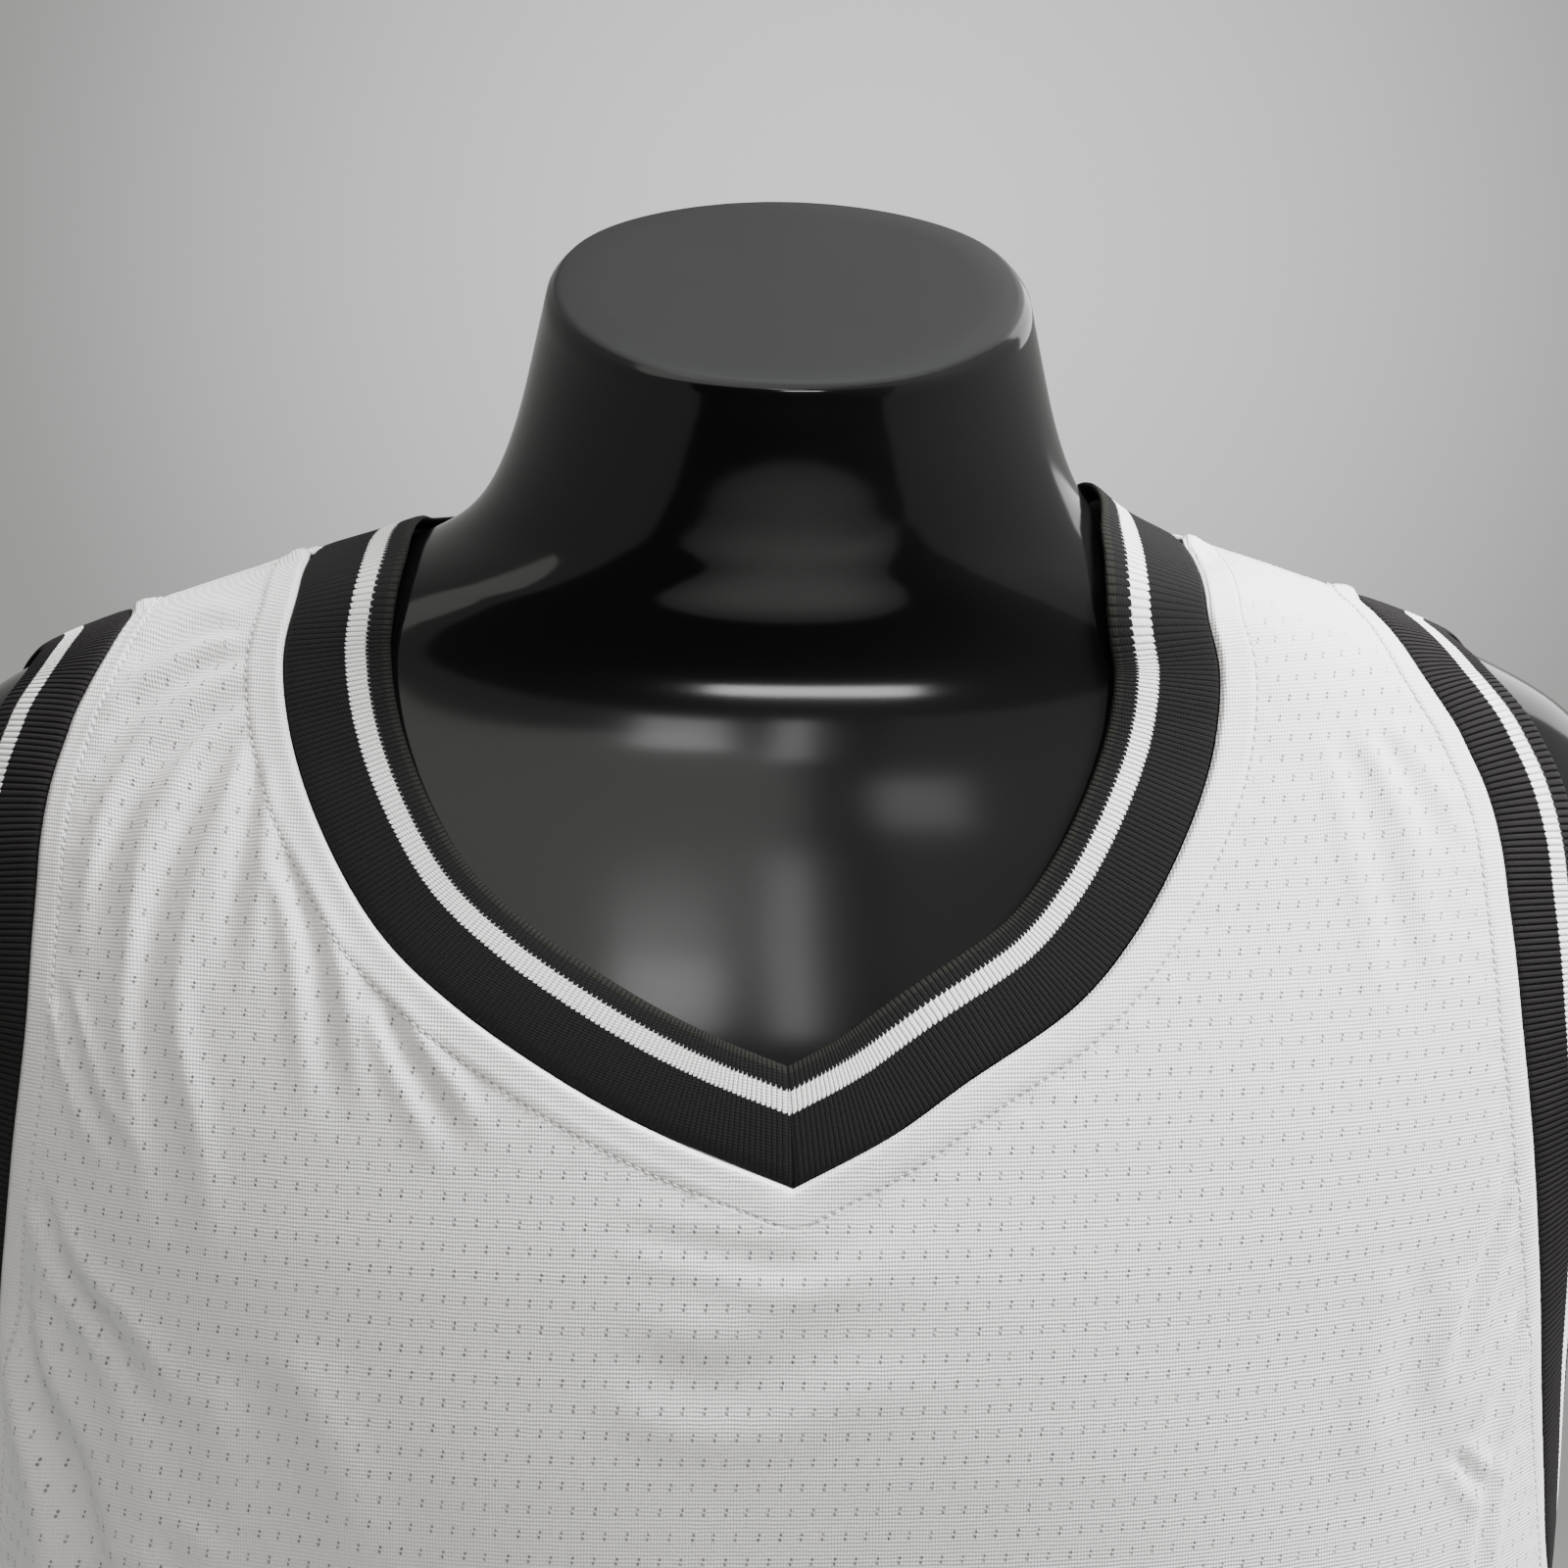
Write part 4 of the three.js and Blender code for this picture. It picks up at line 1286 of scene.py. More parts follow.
@dataclass(frozen=True)
class RibKnit:
    """Black rib knit with one white stripe along it, and stitches by its fold on the neckband.

    The pairs of limits are in millimetres across the band, from its seam.
    """

    name: str
    stripe: tuple[float, float]
    pitch: float
    # The crest colour is painted highlight on the rib crests; the black is the same yarn painted darker as
    # shade in the grooves.
    crest: tuple
    black: tuple
    fold_stitches: float = 0.0
    stitches_from: tuple[float, float] = (25.8, 26.4)
    stitches_to: tuple[float, float] = (27.6, 28.4)
    stripe_edge: float = 0.1
    loop: float = 0.75
    white: tuple = (0.80, 0.80, 0.79, 1)
    # The groove colour is the stripe's white painted darker as shade in the rib grooves and between the
    # loops.
    groove: tuple = (0.36, 0.355, 0.35, 1)
    olive: tuple = (0.015, 0.015, 0.0125, 1)
    roughness: float = 0.8

    def build(self) -> bpy.types.Material:
        """Makes the material.

        Returns:
            The finished material.
        """
        finish = Finish(self.name)
        along, across, _ = finish.stored("band")
        wander = finish.noise(finish.place(), 900, 2.0) - 0.5
        phase = (along / self.pitch) % 1.0
        crest = (0.5 - abs(phase - 0.5)).above(0.04, 0.24)
        loops = finish.math("SINE", across * (math.tau / self.loop) + along * 1.3) * 0.5 + 0.5
        ragged = across + (crest - 0.5) * 0.55 + (phase - 0.5) * 0.5 + wander * 0.45
        low, high = self.stripe
        striped = ragged.above(low - self.stripe_edge, low + self.stripe_edge)
        striped = striped * ragged.below(high - self.stripe_edge, high + self.stripe_edge)
        # Random patches where the painted highlight on the crests is stronger.
        patchy_crest_highlight = finish.noise(finish.place(), 60, 3.0)
        # The black yarn, lighter on the crests as painted highlight and darker in the grooves as painted
        # shade.
        black = finish.mix(crest * (loops * 0.3 + 0.4 + patchy_crest_highlight * 0.5), self.black, self.crest)
        # The white stripe, painted darker as shade in the grooves between the crests and between the loops.
        white = finish.mix(crest * 0.75 + loops * 0.25, self.groove, self.white)
        ticks = crest * across.above(*self.stitches_from) * across.below(*self.stitches_to)
        ticks = ticks * self.fold_stitches
        dark = finish.mix(ticks, black, self.olive)
        height = crest * 0.10 + loops * 0.05 + wander * 0.1 + ticks * 0.06
        return finish.shade(
            {
                "Base Color": finish.mix(striped, dark, white),
                "Roughness": self.roughness,
                "Specular IOR Level": 0.2,
                "Normal": finish.bump(height, MM),
            }
        )


@dataclass(frozen=True)
class Thread:
    """White polyester sewing thread."""

    white: tuple = (0.80, 0.79, 0.79, 1)
    shade: tuple = (0.66, 0.65, 0.65, 1)
    relief: float = 0.1 * MM

    def build(self) -> bpy.types.Material:
        """Makes the material.

        Returns:
            The finished material.
        """
        finish = Finish("sewing_thread")
        ply = finish.noise(finish.place(), 3000, 1.0)
        return finish.shade(
            {
                "Base Color": finish.mix(ply, self.white, self.shade),
                "Roughness": 0.6,
                "Normal": finish.bump(ply, self.relief),
            }
        )


@dataclass(frozen=True)
class GlossForm:
    """Gloss black moulded plastic, with a duller cap on the neck.

    The cap is told by a tilted plane in metres: its middle towards the back and up, and its tilt.
    """

    black: tuple = (0.005, 0.005, 0.005, 1)
    cap: tuple = (0.006, 0.0062, 0.006, 1)
    cap_middle: tuple[float, float] = (-0.019, 0.895)
    cap_tilt: float = math.radians(16.9)
    cap_edge: tuple[float, float] = (-0.0016, -0.0006)
    gloss: float = 0.085
    hazy: float = 0.07
    dusty: float = 0.06
    duller: float = 0.39

    def build(self) -> bpy.types.Material:
        """Makes the material.

        Returns:
            The finished material.
        """
        finish = Finish("gloss_black_plastic")
        place = finish.place()
        _, y, z = finish.parts(place)
        middle_y, middle_z = self.cap_middle
        plane = z - middle_z - (y - middle_y) * math.tan(self.cap_tilt)
        capped = plane.above(*self.cap_edge)
        dust = finish.noise(place, 900, 2.0).above(0.68, 0.8)
        haze = finish.noise(place, 9, 3.0)
        rough = haze * self.hazy + self.gloss + dust * self.dusty + capped * self.duller
        return finish.shade(
            {
                "Base Color": finish.mix(capped, self.black, self.cap),
                "Roughness": rough,
                "IOR": 1.45,
            }
        )


@dataclass
class DressForm:
    """The limbless form that wears the jersey, smoothed, with its shoulders and cap settled.

    The sinks are rows of a height and how far the form is lowered there, in millimetres. The cap
    is tilted more, reaches deeper and is squarer at the back, as shares of its own size.
    """

    node: str = "dress_form"
    levels: int = 2
    cap_middle: float = -19.0
    cap_from: float = 872.0
    cap_run: float = 10.0
    more_tilt: float = 0.055
    deeper: float = 0.04
    squarer: float = 0.05
    merge: float = 1e-5
    flat_enough: float = math.radians(60)
    sharp: float = math.radians(24)
    rim_height: float = 870.0
    base_crease: float = 0.95
    rim_crease: float = 0.7
    sinks: tuple[tuple[float, float], ...] = (
        (770, 0),
        (779, 0.4),
        (790, 1.3),
        (804, 2.7),
        (818, 3.2),
        (830, 4.8),
        (842, 5.2),
        (856, 3.4),
        (872, 0.8),
        (885, 0),
    )

    def build(self, frame: dict) -> bpy.types.Object:
        """Smooths a copy of the form's solid.


        Returns:
            The form as a finished piece.
        """
        source = frame["nodes"][self.node]
        form = bpy.data.objects.new("dress_form_gloss", source.data.copy())
        bpy.context.scene.collection.objects.link(form)
        bpy.ops.object.select_all(action="DESELECT")
        bpy.context.view_layer.objects.active = form
        form.select_set(True)
        bpy.ops.object.mode_set(mode="EDIT")
        bpy.ops.mesh.select_all(action="SELECT")
        bpy.ops.mesh.remove_doubles(threshold=self.merge)
        limits = {"face_threshold": self.flat_enough, "shape_threshold": self.flat_enough}
        bpy.ops.mesh.tris_convert_to_quads(**limits)
        bpy.ops.mesh.select_all(action="DESELECT")
        bpy.ops.object.mode_set(mode="OBJECT")
        self._settle_shoulders(form)
        self._crease_edges(form)
        smoother = form.modifiers.new("smooth", "SUBSURF")
        smoother.levels = self.levels
        smoother.render_levels = self.levels
        bpy.ops.object.modifier_apply(modifier=smoother.name)
        bpy.ops.object.shade_smooth()
        form.data.materials.clear()
        form.data.materials.append(GlossForm().build())
        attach(form, "root")
        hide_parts(self.node)
        log.info("%s: %d faces", form.name, len(form.data.polygons))
        return form

    def _settle_shoulders(self, form: bpy.types.Object) -> None:
        """Lowers the shoulders and the foot of the neck a little, and tilts the cap.

        Args:
            form: the form's copy, before it is smoothed.
        """
        ups, sinks = zip(*self.sinks)
        for vertex in form.data.vertices:
            up = vertex.co.z / MM
            vertex.co.z -= float(np.interp(up, ups, sinks)) * MM
            lean = float(smooth(np.array((up - self.cap_from) / self.cap_run)))
            off = vertex.co.y - self.cap_middle * MM
            vertex.co.z += off * self.more_tilt * lean
            vertex.co.y += off * self.deeper * lean
            corner = math.sin(2 * math.atan2(off, vertex.co.x)) ** 2 if off > 0 else 0.0
            vertex.co.x *= 1 + self.squarer * corner * lean
            vertex.co.y += off * self.squarer * corner * lean

    def _crease_edges(self, form: bpy.types.Object) -> None:
        """Keeps the edges of the flat base and of the cap crisp through the smoothing.

        Args:
            form: the form's copy, before it is smoothed.
        """
        mesh = form.data
        creases = mesh.attributes.new("crease_edge", "FLOAT", "EDGE")
        facing = {}
        for polygon in mesh.polygons:
            for key in polygon.edge_keys:
                facing.setdefault(key, []).append(polygon.normal)
        for edge in mesh.edges:
            normals = facing.get(tuple(sorted(edge.vertices)), [])
            height = mesh.vertices[edge.vertices[0]].co.z
            if len(normals) == 2 and normals[0].angle(normals[1], 0) > self.sharp:
                if height < self.merge:
                    creases.data[edge.index].value = self.base_crease
                elif height > self.rim_height * MM:
                    creases.data[edge.index].value = self.rim_crease


@dataclass
class Density:
    """How finely a panel is divided, and which share of the armhole its chest rows reach."""

    skirt: int
    chest: int
    strap: int
    chest_share: float
    columns: int = 72
    underarm: int = 12


@dataclass
class BodyPanel:
    """The front or back body of eyelet knit, with its turned hem.

    A stitch fills a share of its pitch and lies a little off the cloth. The stitches leave some of the
    seam's points free under the arm, and at the hem they reach the same turn to both sides, as many
    as fit a run in millimetres.
    """

    pattern: Pattern
    face: Face
    density: Density
    wall: float = 0.9
    underarm_share: float = 0.1
    stitch_share: float = 0.72
    stitch_lift: float = 0.1
    underarm_left: int = 4
    hem_turn: float = 88.5
    hem_run: float = 680.0
    stitches: list[bpy.types.Object] = field(default_factory=list)

    @property
    def name(self) -> str:
        """The panel's plain name."""
        return "front" if self.face is Face.FRONT else "back"

    def build(
        self, material: bpy.types.Material, thread: bpy.types.Material, form: str
    ) -> bpy.types.Object:
        """Makes the panel as a thin closed shell, and its stitches.

        Args:
            material: the knit.
            thread: the stitches' finish.
            form: the name of the piece that the cloth rests on; not used.

        Returns:
            The finished panel.
        """
        sheet = Sheet()
        known: dict[str, np.ndarray] = {}
        for side in (Side.LEFT, Side.RIGHT):
            self._add_half(sheet, side, known)
        smooth_points = sheet.points()
        near = self.pattern.boundaries(smooth_points)
        height = self.pattern.height(smooth_points, self.face, near)
        normal = self.pattern.cloth.normal(smooth_points)
        gap = np.array([0, self.face.value * SEAM_GAP / 2, 0])
        outer = smooth_points + normal * height[:, None] + gap
        inner = smooth_points + normal * (height - self.wall)[:, None] + gap
        quads = sheet.faces()
        faces = shell_faces(quads, sheet.count).tolist()
        panel = make_piece(f"{self.name}_cloth", np.vstack([outer, inner]), faces, material)
        seams = (near["neck"].away, near["neck"].along, near["arm"].away)
        edges = (near["shoulder"].away, near["side"].away, near["arm"].along)
        for name, columns in (("seams", seams), ("edges", edges)):
            add_vectors(panel, name, [np.tile(column, 2) for column in columns])
        flat = self.pattern.flat(smooth_points, self.face)
        add_map(panel, np.tile(flat, (2, 1)))
        self._stitch(thread)
        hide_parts(f"{self.name}_panel")
        return panel

    @staticmethod
    def _flat_area(corners: np.ndarray) -> float:
        """The area of flat quads.

        Args:
            corners: four places for each quad.

        Returns:
            The sum of their areas, whichever way round they go.
        """
        x, y = corners[..., 0], corners[..., 1]
        following_x, following_y = np.roll(x, -1, axis=1), np.roll(y, -1, axis=1)
        return float(np.abs((x * following_y - following_x * y).sum(1) / 2).sum())

    def _add_half(self, sheet: Sheet, side: Side, known: dict[str, np.ndarray]) -> None:
        """Adds one half of the panel, as a skirt grid and a grid of chest and strap above it.

        Args:
            sheet: the sheet that it goes into.
            side: which half.
            known: the numbers of the middle's points, which the second half shares.
        """
        pattern, face, density = self.pattern, self.face, self.density
        cloth, seam = pattern.cloth, pattern.arms[side]
        front = face is Face.FRONT
        if front:
            neck_low = 0 if side is Side.RIGHT else pattern.neck.last
        else:
            neck_low = pattern.neck.nearest(cloth.centre_back(BACK_NECK_HEIGHT))
        arm_low = 0 if front else seam.last
        arm_top = pattern.arm_tops[side]
        underarm_end = arm_low + (arm_top - arm_low) * self.underarm_share
        chest_end = arm_low + (arm_top - arm_low) * density.chest_share
        neck = np.linspace(neck_low, pattern.neck_tops[side], density.strap + 1)
        underarm = np.linspace(arm_low, underarm_end, density.underarm + 1)
        chest = np.linspace(underarm_end, chest_end, density.chest, endpoint=False)
        strap = np.linspace(chest_end, arm_top, density.strap + 1)
        neck_height = V_TIP_HEIGHT if front else BACK_NECK_HEIGHT
        ups = np.linspace(CHEST_HEIGHT, neck_height, density.chest, endpoint=False)
        middle = cloth.point(ups, 0.0) if front else cloth.centre_back(ups)
        inside = np.vstack([middle, at_index(pattern.neck.points, neck)])
        outside = at_index(seam.points, np.concatenate([chest, strap]))
        t = np.linspace(0, 1, density.columns + 1)
        turns = self._turn(inside, side)[:, None] * (1 - t) + self._turn(outside, side)[:, None] * t
        heights = inside[:, None, 2] + (outside[:, 2] - inside[:, 2])[:, None] * smooth(t)
        upper = cloth.point(heights, turns)
        upper[:, 0], upper[:, -1] = inside, outside
        top = np.vstack([upper[0], at_index(seam.points, underarm[:-1][::-1])])
        rise = np.linspace(0, 1, density.skirt + 1)[:, None]
        skirt = cloth.point(HEM_HEIGHT + (top[:, 2] - HEM_HEIGHT) * rise, self._turn(top, side)[None])
        flip = (side is Side.RIGHT) == front
        shared = np.full(upper.shape[:2], -1)
        if "chest" in known:
            shared[: density.chest + 1, 0] = known["chest"]
        ids = sheet.add(upper, shared, flip)
        known["chest"] = ids[: density.chest + 1, 0]
        shared = np.full(skirt.shape[:2], -1)
        if "skirt" in known:
            shared[:-1, 0] = known["skirt"]
        shared[-1, : density.columns + 1] = ids[0]
        skirt_ids = sheet.add(skirt, shared, flip)
        known["skirt"] = skirt_ids[:-1, 0]

    def _turn(self, p: np.ndarray, side: Side) -> np.ndarray:
        """Turns of points, counted on past half a turn where a back half reaches over the middle.

        Args:
            p: points in rows.
            side: the half that they belong to.

        Returns:
            Turns in degrees.
        """
        turn = self.pattern.cloth.turn_of(p)
        wraps = (self.face is Face.BACK) & (side.value * turn < 0)
        return np.where(wraps, turn + side.value * FULL_TURN, turn)

    def _stitch(self, thread: bpy.types.Material) -> None:
        """Adds the lines of topstitching of this panel.

        Args:
            thread: the stitches' finish.
        """
        pattern, front = self.pattern, self.face is Face.FRONT
        tops = sorted(pattern.neck_tops.values())
        if front:
            spans = [(0, tops[0]), (tops[1], pattern.neck.last)]
        else:
            spans = [(tops[0], tops[1])]
        lines = [(pattern.neck, span, 1.0, NECK_STITCH_OFF) for span in spans]
        for side, seam in pattern.arms.items():
            top, left = pattern.arm_tops[side], self.underarm_left
            span = (left, top) if front else (top, seam.last - left)
            lines.append((seam, span, side.value, ARM_STITCH_OFF))
        starts, ends = [], []
        for seam, (low, high), inwards, off in lines:
            count = int((high - low) * seam.spacing / STITCH_PITCH)
            phase = math.ceil(low * seam.spacing / STITCH_PITCH) * STITCH_PITCH
            middles = (phase + np.arange(count) * STITCH_PITCH) / seam.spacing
            half = self.stitch_share / 2 * STITCH_PITCH / seam.spacing
            starts.append(seam.strip(middles - half, inwards, np.full(count, off)))
            ends.append(seam.strip(middles + half, inwards, np.full(count, off)))
        for up in HEM_STITCHES_UP:
            turns = np.linspace(-self.hem_turn, self.hem_turn, int(self.hem_run / STITCH_PITCH))
            turns = turns + (0 if front else HALF_TURN)
            half = self.stitch_share / 2 * 2 * self.hem_turn / len(turns)
            starts.append(pattern.cloth.point(HEM_HEIGHT + up, turns - half))
            ends.append(pattern.cloth.point(HEM_HEIGHT + up, turns + half))
        start, _ = pattern.raised(np.vstack(starts), self.face, self.stitch_lift)
        end, normal = pattern.raised(np.vstack(ends), self.face, self.stitch_lift)
        self.stitches.append(stitch_piece(f"{self.name}_topstitch", start, end, normal, thread))


def stitch_piece(
    name: str, start: np.ndarray, end: np.ndarray, normal: np.ndarray, thread: bpy.types.Material
) -> bpy.types.Object:
    """Many short stitches as one piece: each a bent six-sided thread with closed ends.

    Args:
        name: the piece's name.
        start: where each stitch starts.
        end: where each stitch ends.
        normal: the cloth's outward direction at each.
        thread: the finish.

    Returns:
        The finished piece.
    """
    way = (end - start) / np.linalg.norm(end - start, axis=1, keepdims=True)
    side = np.cross(normal, way)
    shares = np.array([0, 0.12, 0.5, 0.88, 1])
    radii = np.array([0.08, 0.2, 0.24, 0.2, 0.08])
    lifts = np.array([-0.25, 0.05, 0.16, 0.05, -0.25])
    sides, rings = 6, len(shares)
    angles = np.arange(sides) * math.tau / sides
    spine = start[:, None] + (end - start)[:, None] * shares[:, None] + normal[:, None] * lifts[:, None]
    ring = side[:, None] * np.cos(angles)[:, None] + normal[:, None] * np.sin(angles)[:, None]
    points = spine[:, :, None] + ring[:, None] * radii[:, None, None]
    tube = []
    for i in range(rings - 1):
        for j in range(sides):
            k = (j + 1) % sides
            tube.append([i * sides + j, i * sides + k, (i + 1) * sides + k, (i + 1) * sides + j])
    caps = [list(range(sides - 1, -1, -1)), list(range((rings - 1) * sides, rings * sides))]
    firsts = [n * rings * sides for n in range(len(start))]
    faces = [[first + corner for corner in face] for first in firsts for face in tube]
    faces += [[first + corner for corner in face] for first in firsts for face in caps]
    piece = make_piece(name, points.reshape(-1, 3), faces, thread)
    log.info("%s: %d stitches", name, len(start))
    return piece


# The cross section of a folded band: rows of a distance in from the seam and a height off the cloth.
BAND_OUTLINE = (
    (SEAM_GAP, -0.45),
    (0.7, 0.2),
    (1.8, 0.6),
    (4.5, 0.82),
    (9, 0.92),
    (14, 0.95),
    (19, 0.9),
    (23.5, 0.76),
    (26.2, 0.5),
    (27.6, 0.1),
    (28.25, -0.5),
    (27.7, -1.05),
    (26.2, -1.4),
    (18, -1.45),
    (8, -1.45),
    (1.5, -1.4),
    (SEAM_GAP, -1.3),
)


@dataclass
class RibBand:
    """A folded band of rib knit along a seam, with its ribs standing in the mesh.

    Lengths are in millimetres. The phases are where the rows of points lie in a rib's pitch, and the
    groove is a share of it. The grooves are shallower on the inside of the fold. The band flares at
    the shoulders, and a mitred one dips in a crease where its ends meet.
    """

    name: str
    node: str
    seam: Seam
    inwards: float
    pitch: float
    relief: float
    mitred: bool = False
    shoulders: tuple[int, ...] = ()
    phases: tuple[float, ...] = (0.0, 0.1, 0.25, 0.5, 0.75, 0.9)
    flare: float = 0.11
    flare_spread: float = 62.0
    groove: float = 0.15
    relief_run: float = 2.5
    inside_under: float = -1.2
    inside_share: float = 0.3
    mitre_run: float = 55.0
    mitre_steps: int = 4
    crease_depth: float = 0.55
    crease_spread: float = 0.9
    crease_above: float = -1.0

    def build(self, material: bpy.types.Material, form: str) -> bpy.types.Object:
        """Makes the band.

        Args:
            material: the rib knit.
            form: the name of the piece that the band rests on; not used.

        Returns:
            The finished band.
        """
        seam, outline = self.seam, np.array(BAND_OUTLINE)
        ribs = round(seam.length / self.pitch)
        turns = (np.arange(ribs)[:, None] + np.array(self.phases)).ravel()
        turns = turns if seam.closed else np.append(turns, ribs)
        index = turns / ribs * seam.last
        distance = outline[:, 0]
        grid_index = np.broadcast_to(index[:, None], (len(index), len(distance))).copy()
        if self.mitred:
            grid_index = grid_index + self._lean(index)[:, None] * distance / seam.spacing
        flare = sum(bell((index - top) * seam.spacing, self.flare_spread) for top in self.shoulders)
        spread = distance * (1 + self.flare * np.broadcast_to(flare, index.shape)[:, None])
        flat_points = seam.strip(grid_index.ravel(), self.inwards, spread.ravel())
        normal = seam.cloth.normal(flat_points).reshape(*grid_index.shape, 3)
        points = flat_points.reshape(*grid_index.shape, 3)
        groove = bell(0.5 - np.abs(np.mod(turns, 1) - 0.5), self.groove)[:, None]
        outside = np.where(outline[:, 1] > self.inside_under, 1.0, self.inside_share)
        outside = outside * smooth(distance / self.relief_run)
        height = outline[:, 1] - self.relief * groove * outside
        if self.mitred:
            from_end = np.minimum(index, seam.last - index)[:, None] * seam.spacing
            ends = bell(from_end, self.crease_spread)
            height = height - self.crease_depth * ends * (outline[:, 1] > self.crease_above)
        points = points + normal * height[..., None]
        if self.mitred:
            points[0, :, 0], points[-1, :, 0] = -SEAM_GAP / 2, SEAM_GAP / 2
        count, around = points.shape[:2]
        ids = np.arange(count * around).reshape(count, around)
        ids = np.hstack([ids, ids[:, :1]])
        ids = np.vstack([ids, ids[:1]]) if seam.closed else ids
        quads = np.stack([ids[:-1, :-1], ids[:-1, 1:], ids[1:, 1:], ids[1:, :-1]], -1).reshape(-1, 4)
        quads = quads[:, ::-1] if self.inwards > 0 else quads
        faces = quads.tolist()
        if not seam.closed:
            first, last = ids[0, :-1].tolist(), ids[-1, :-1].tolist()
            faces += [first[::-1], last] if self.inwards < 0 else [first, last[::-1]]
        band = make_piece(self.name, points.reshape(-1, 3), faces, material)
        along = np.repeat(index / seam.last * ribs * self.pitch, around)
        across = np.tile(distance, count)
        add_vectors(band, "band", [along, across, np.zeros(len(along))])
        add_map(band, np.column_stack([along, across]))
        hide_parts(self.node)
        return band

    def _lean(self, index: np.ndarray) -> np.ndarray:
        """How the rows lean so that the two ends meet in a mitre.

        Args:
            index: the rows' places along the seam.

        Returns:
            How far each row leans along the seam for each millimetre in from it.
        """
        seam = self.seam
        start = seam.points[self.mitre_steps] - seam.points[0]
        mitre = math.atan2(math.hypot(start[2], start[1]), abs(start[0]))
        from_end = np.minimum(index, seam.last - index) * seam.spacing
        ways = np.where(index < seam.last / 2, 1, -1)
        return math.tan(mitre) * (1 - smooth(from_end / self.mitre_run)) * ways


@dataclass
class Lamp:
    """An area light that points at a place.

    A lamp that isn't mirrored lights the piece without showing in its gloss, and one that isn't lit
    shows in the gloss alone.
    """

    name: str
    at: tuple[float, float, float]
    aim: tuple[float, float, float]
    size: tuple[float, float]
    power: float
    colour: tuple[float, float, float] = (1, 1, 1)
    mirrored: bool = True
    lit: bool = True

    def build(self) -> None:
        """Hangs the light, out of the camera's sight."""
        light = bpy.data.lights.new(self.name, "AREA")
        light.shape = "RECTANGLE"
        light.size, light.size_y = self.size
        light.energy = self.power
        light.color = self.colour
        lamp = bpy.data.objects.new(self.name, light)
        lamp.location = self.at
        lamp.rotation_euler = (Vector(self.aim) - Vector(self.at)).to_track_quat("-Z", "Y").to_euler()
        lamp.visible_camera = False
        lamp.visible_glossy = self.mirrored
        lamp.visible_diffuse = self.lit
        bpy.context.scene.collection.objects.link(lamp)


# Four lights, a pale veil for the gloss alone, and small cards that show in the gloss as patches.
LAMPS = (
    Lamp(
        name="key_light",
        at=(1.0, -0.16, 1.86),
        aim=(0.03, -0.05, 0.72),
        size=(0.6, 0.6),
        power=108,
        colour=(0.975, 0.987, 1.0),
        mirrored=False,
    ),
    Lamp(
        name="front_light",
        at=(0.29, -0.6, 2.55),
        aim=(0, -0.1, 0.72),
        size=(2.0, 1.0),
        power=27.6,
        colour=(1.0, 0.92, 0.88),
        mirrored=False,
    ),
    Lamp("top_light", (0.0, 0.15, 2.5), (0, 0, 0.75), (1.6, 1.2), 17, (0.95, 0.97, 1.0)),
    Lamp("back_light", (1.4, 2.0, 1.7), (0, 0, 0.6), (1.6, 1.6), 20),
    Lamp(
        name="veil_card",
        at=(-0.8, -1.2, 2.6),
        aim=(0, -0.1, 0.72),
        size=(2.6, 1.6),
        power=15,
        colour=(1.0, 0.98, 0.95),
        lit=False,
    ),
    Lamp("middle_card", (0.062, -1.218, 1.475), (0, -0.09, 0.73), (0.047, 0.28), 0.24),
    Lamp("low_card", (-0.11, -1.215, 1.455), (-0.03, -0.09, 0.73), (0.15, 0.22), 0.50),
    Lamp("high_card", (0.268, -1.19, 1.80), (0.03, -0.08, 0.765), (0.15, 0.12), 0.14),
    Lamp("neck_card", (0.085, -1.217, 1.02), (0, -0.065, 0.795), (0.32, 0.12), 2.2),
)


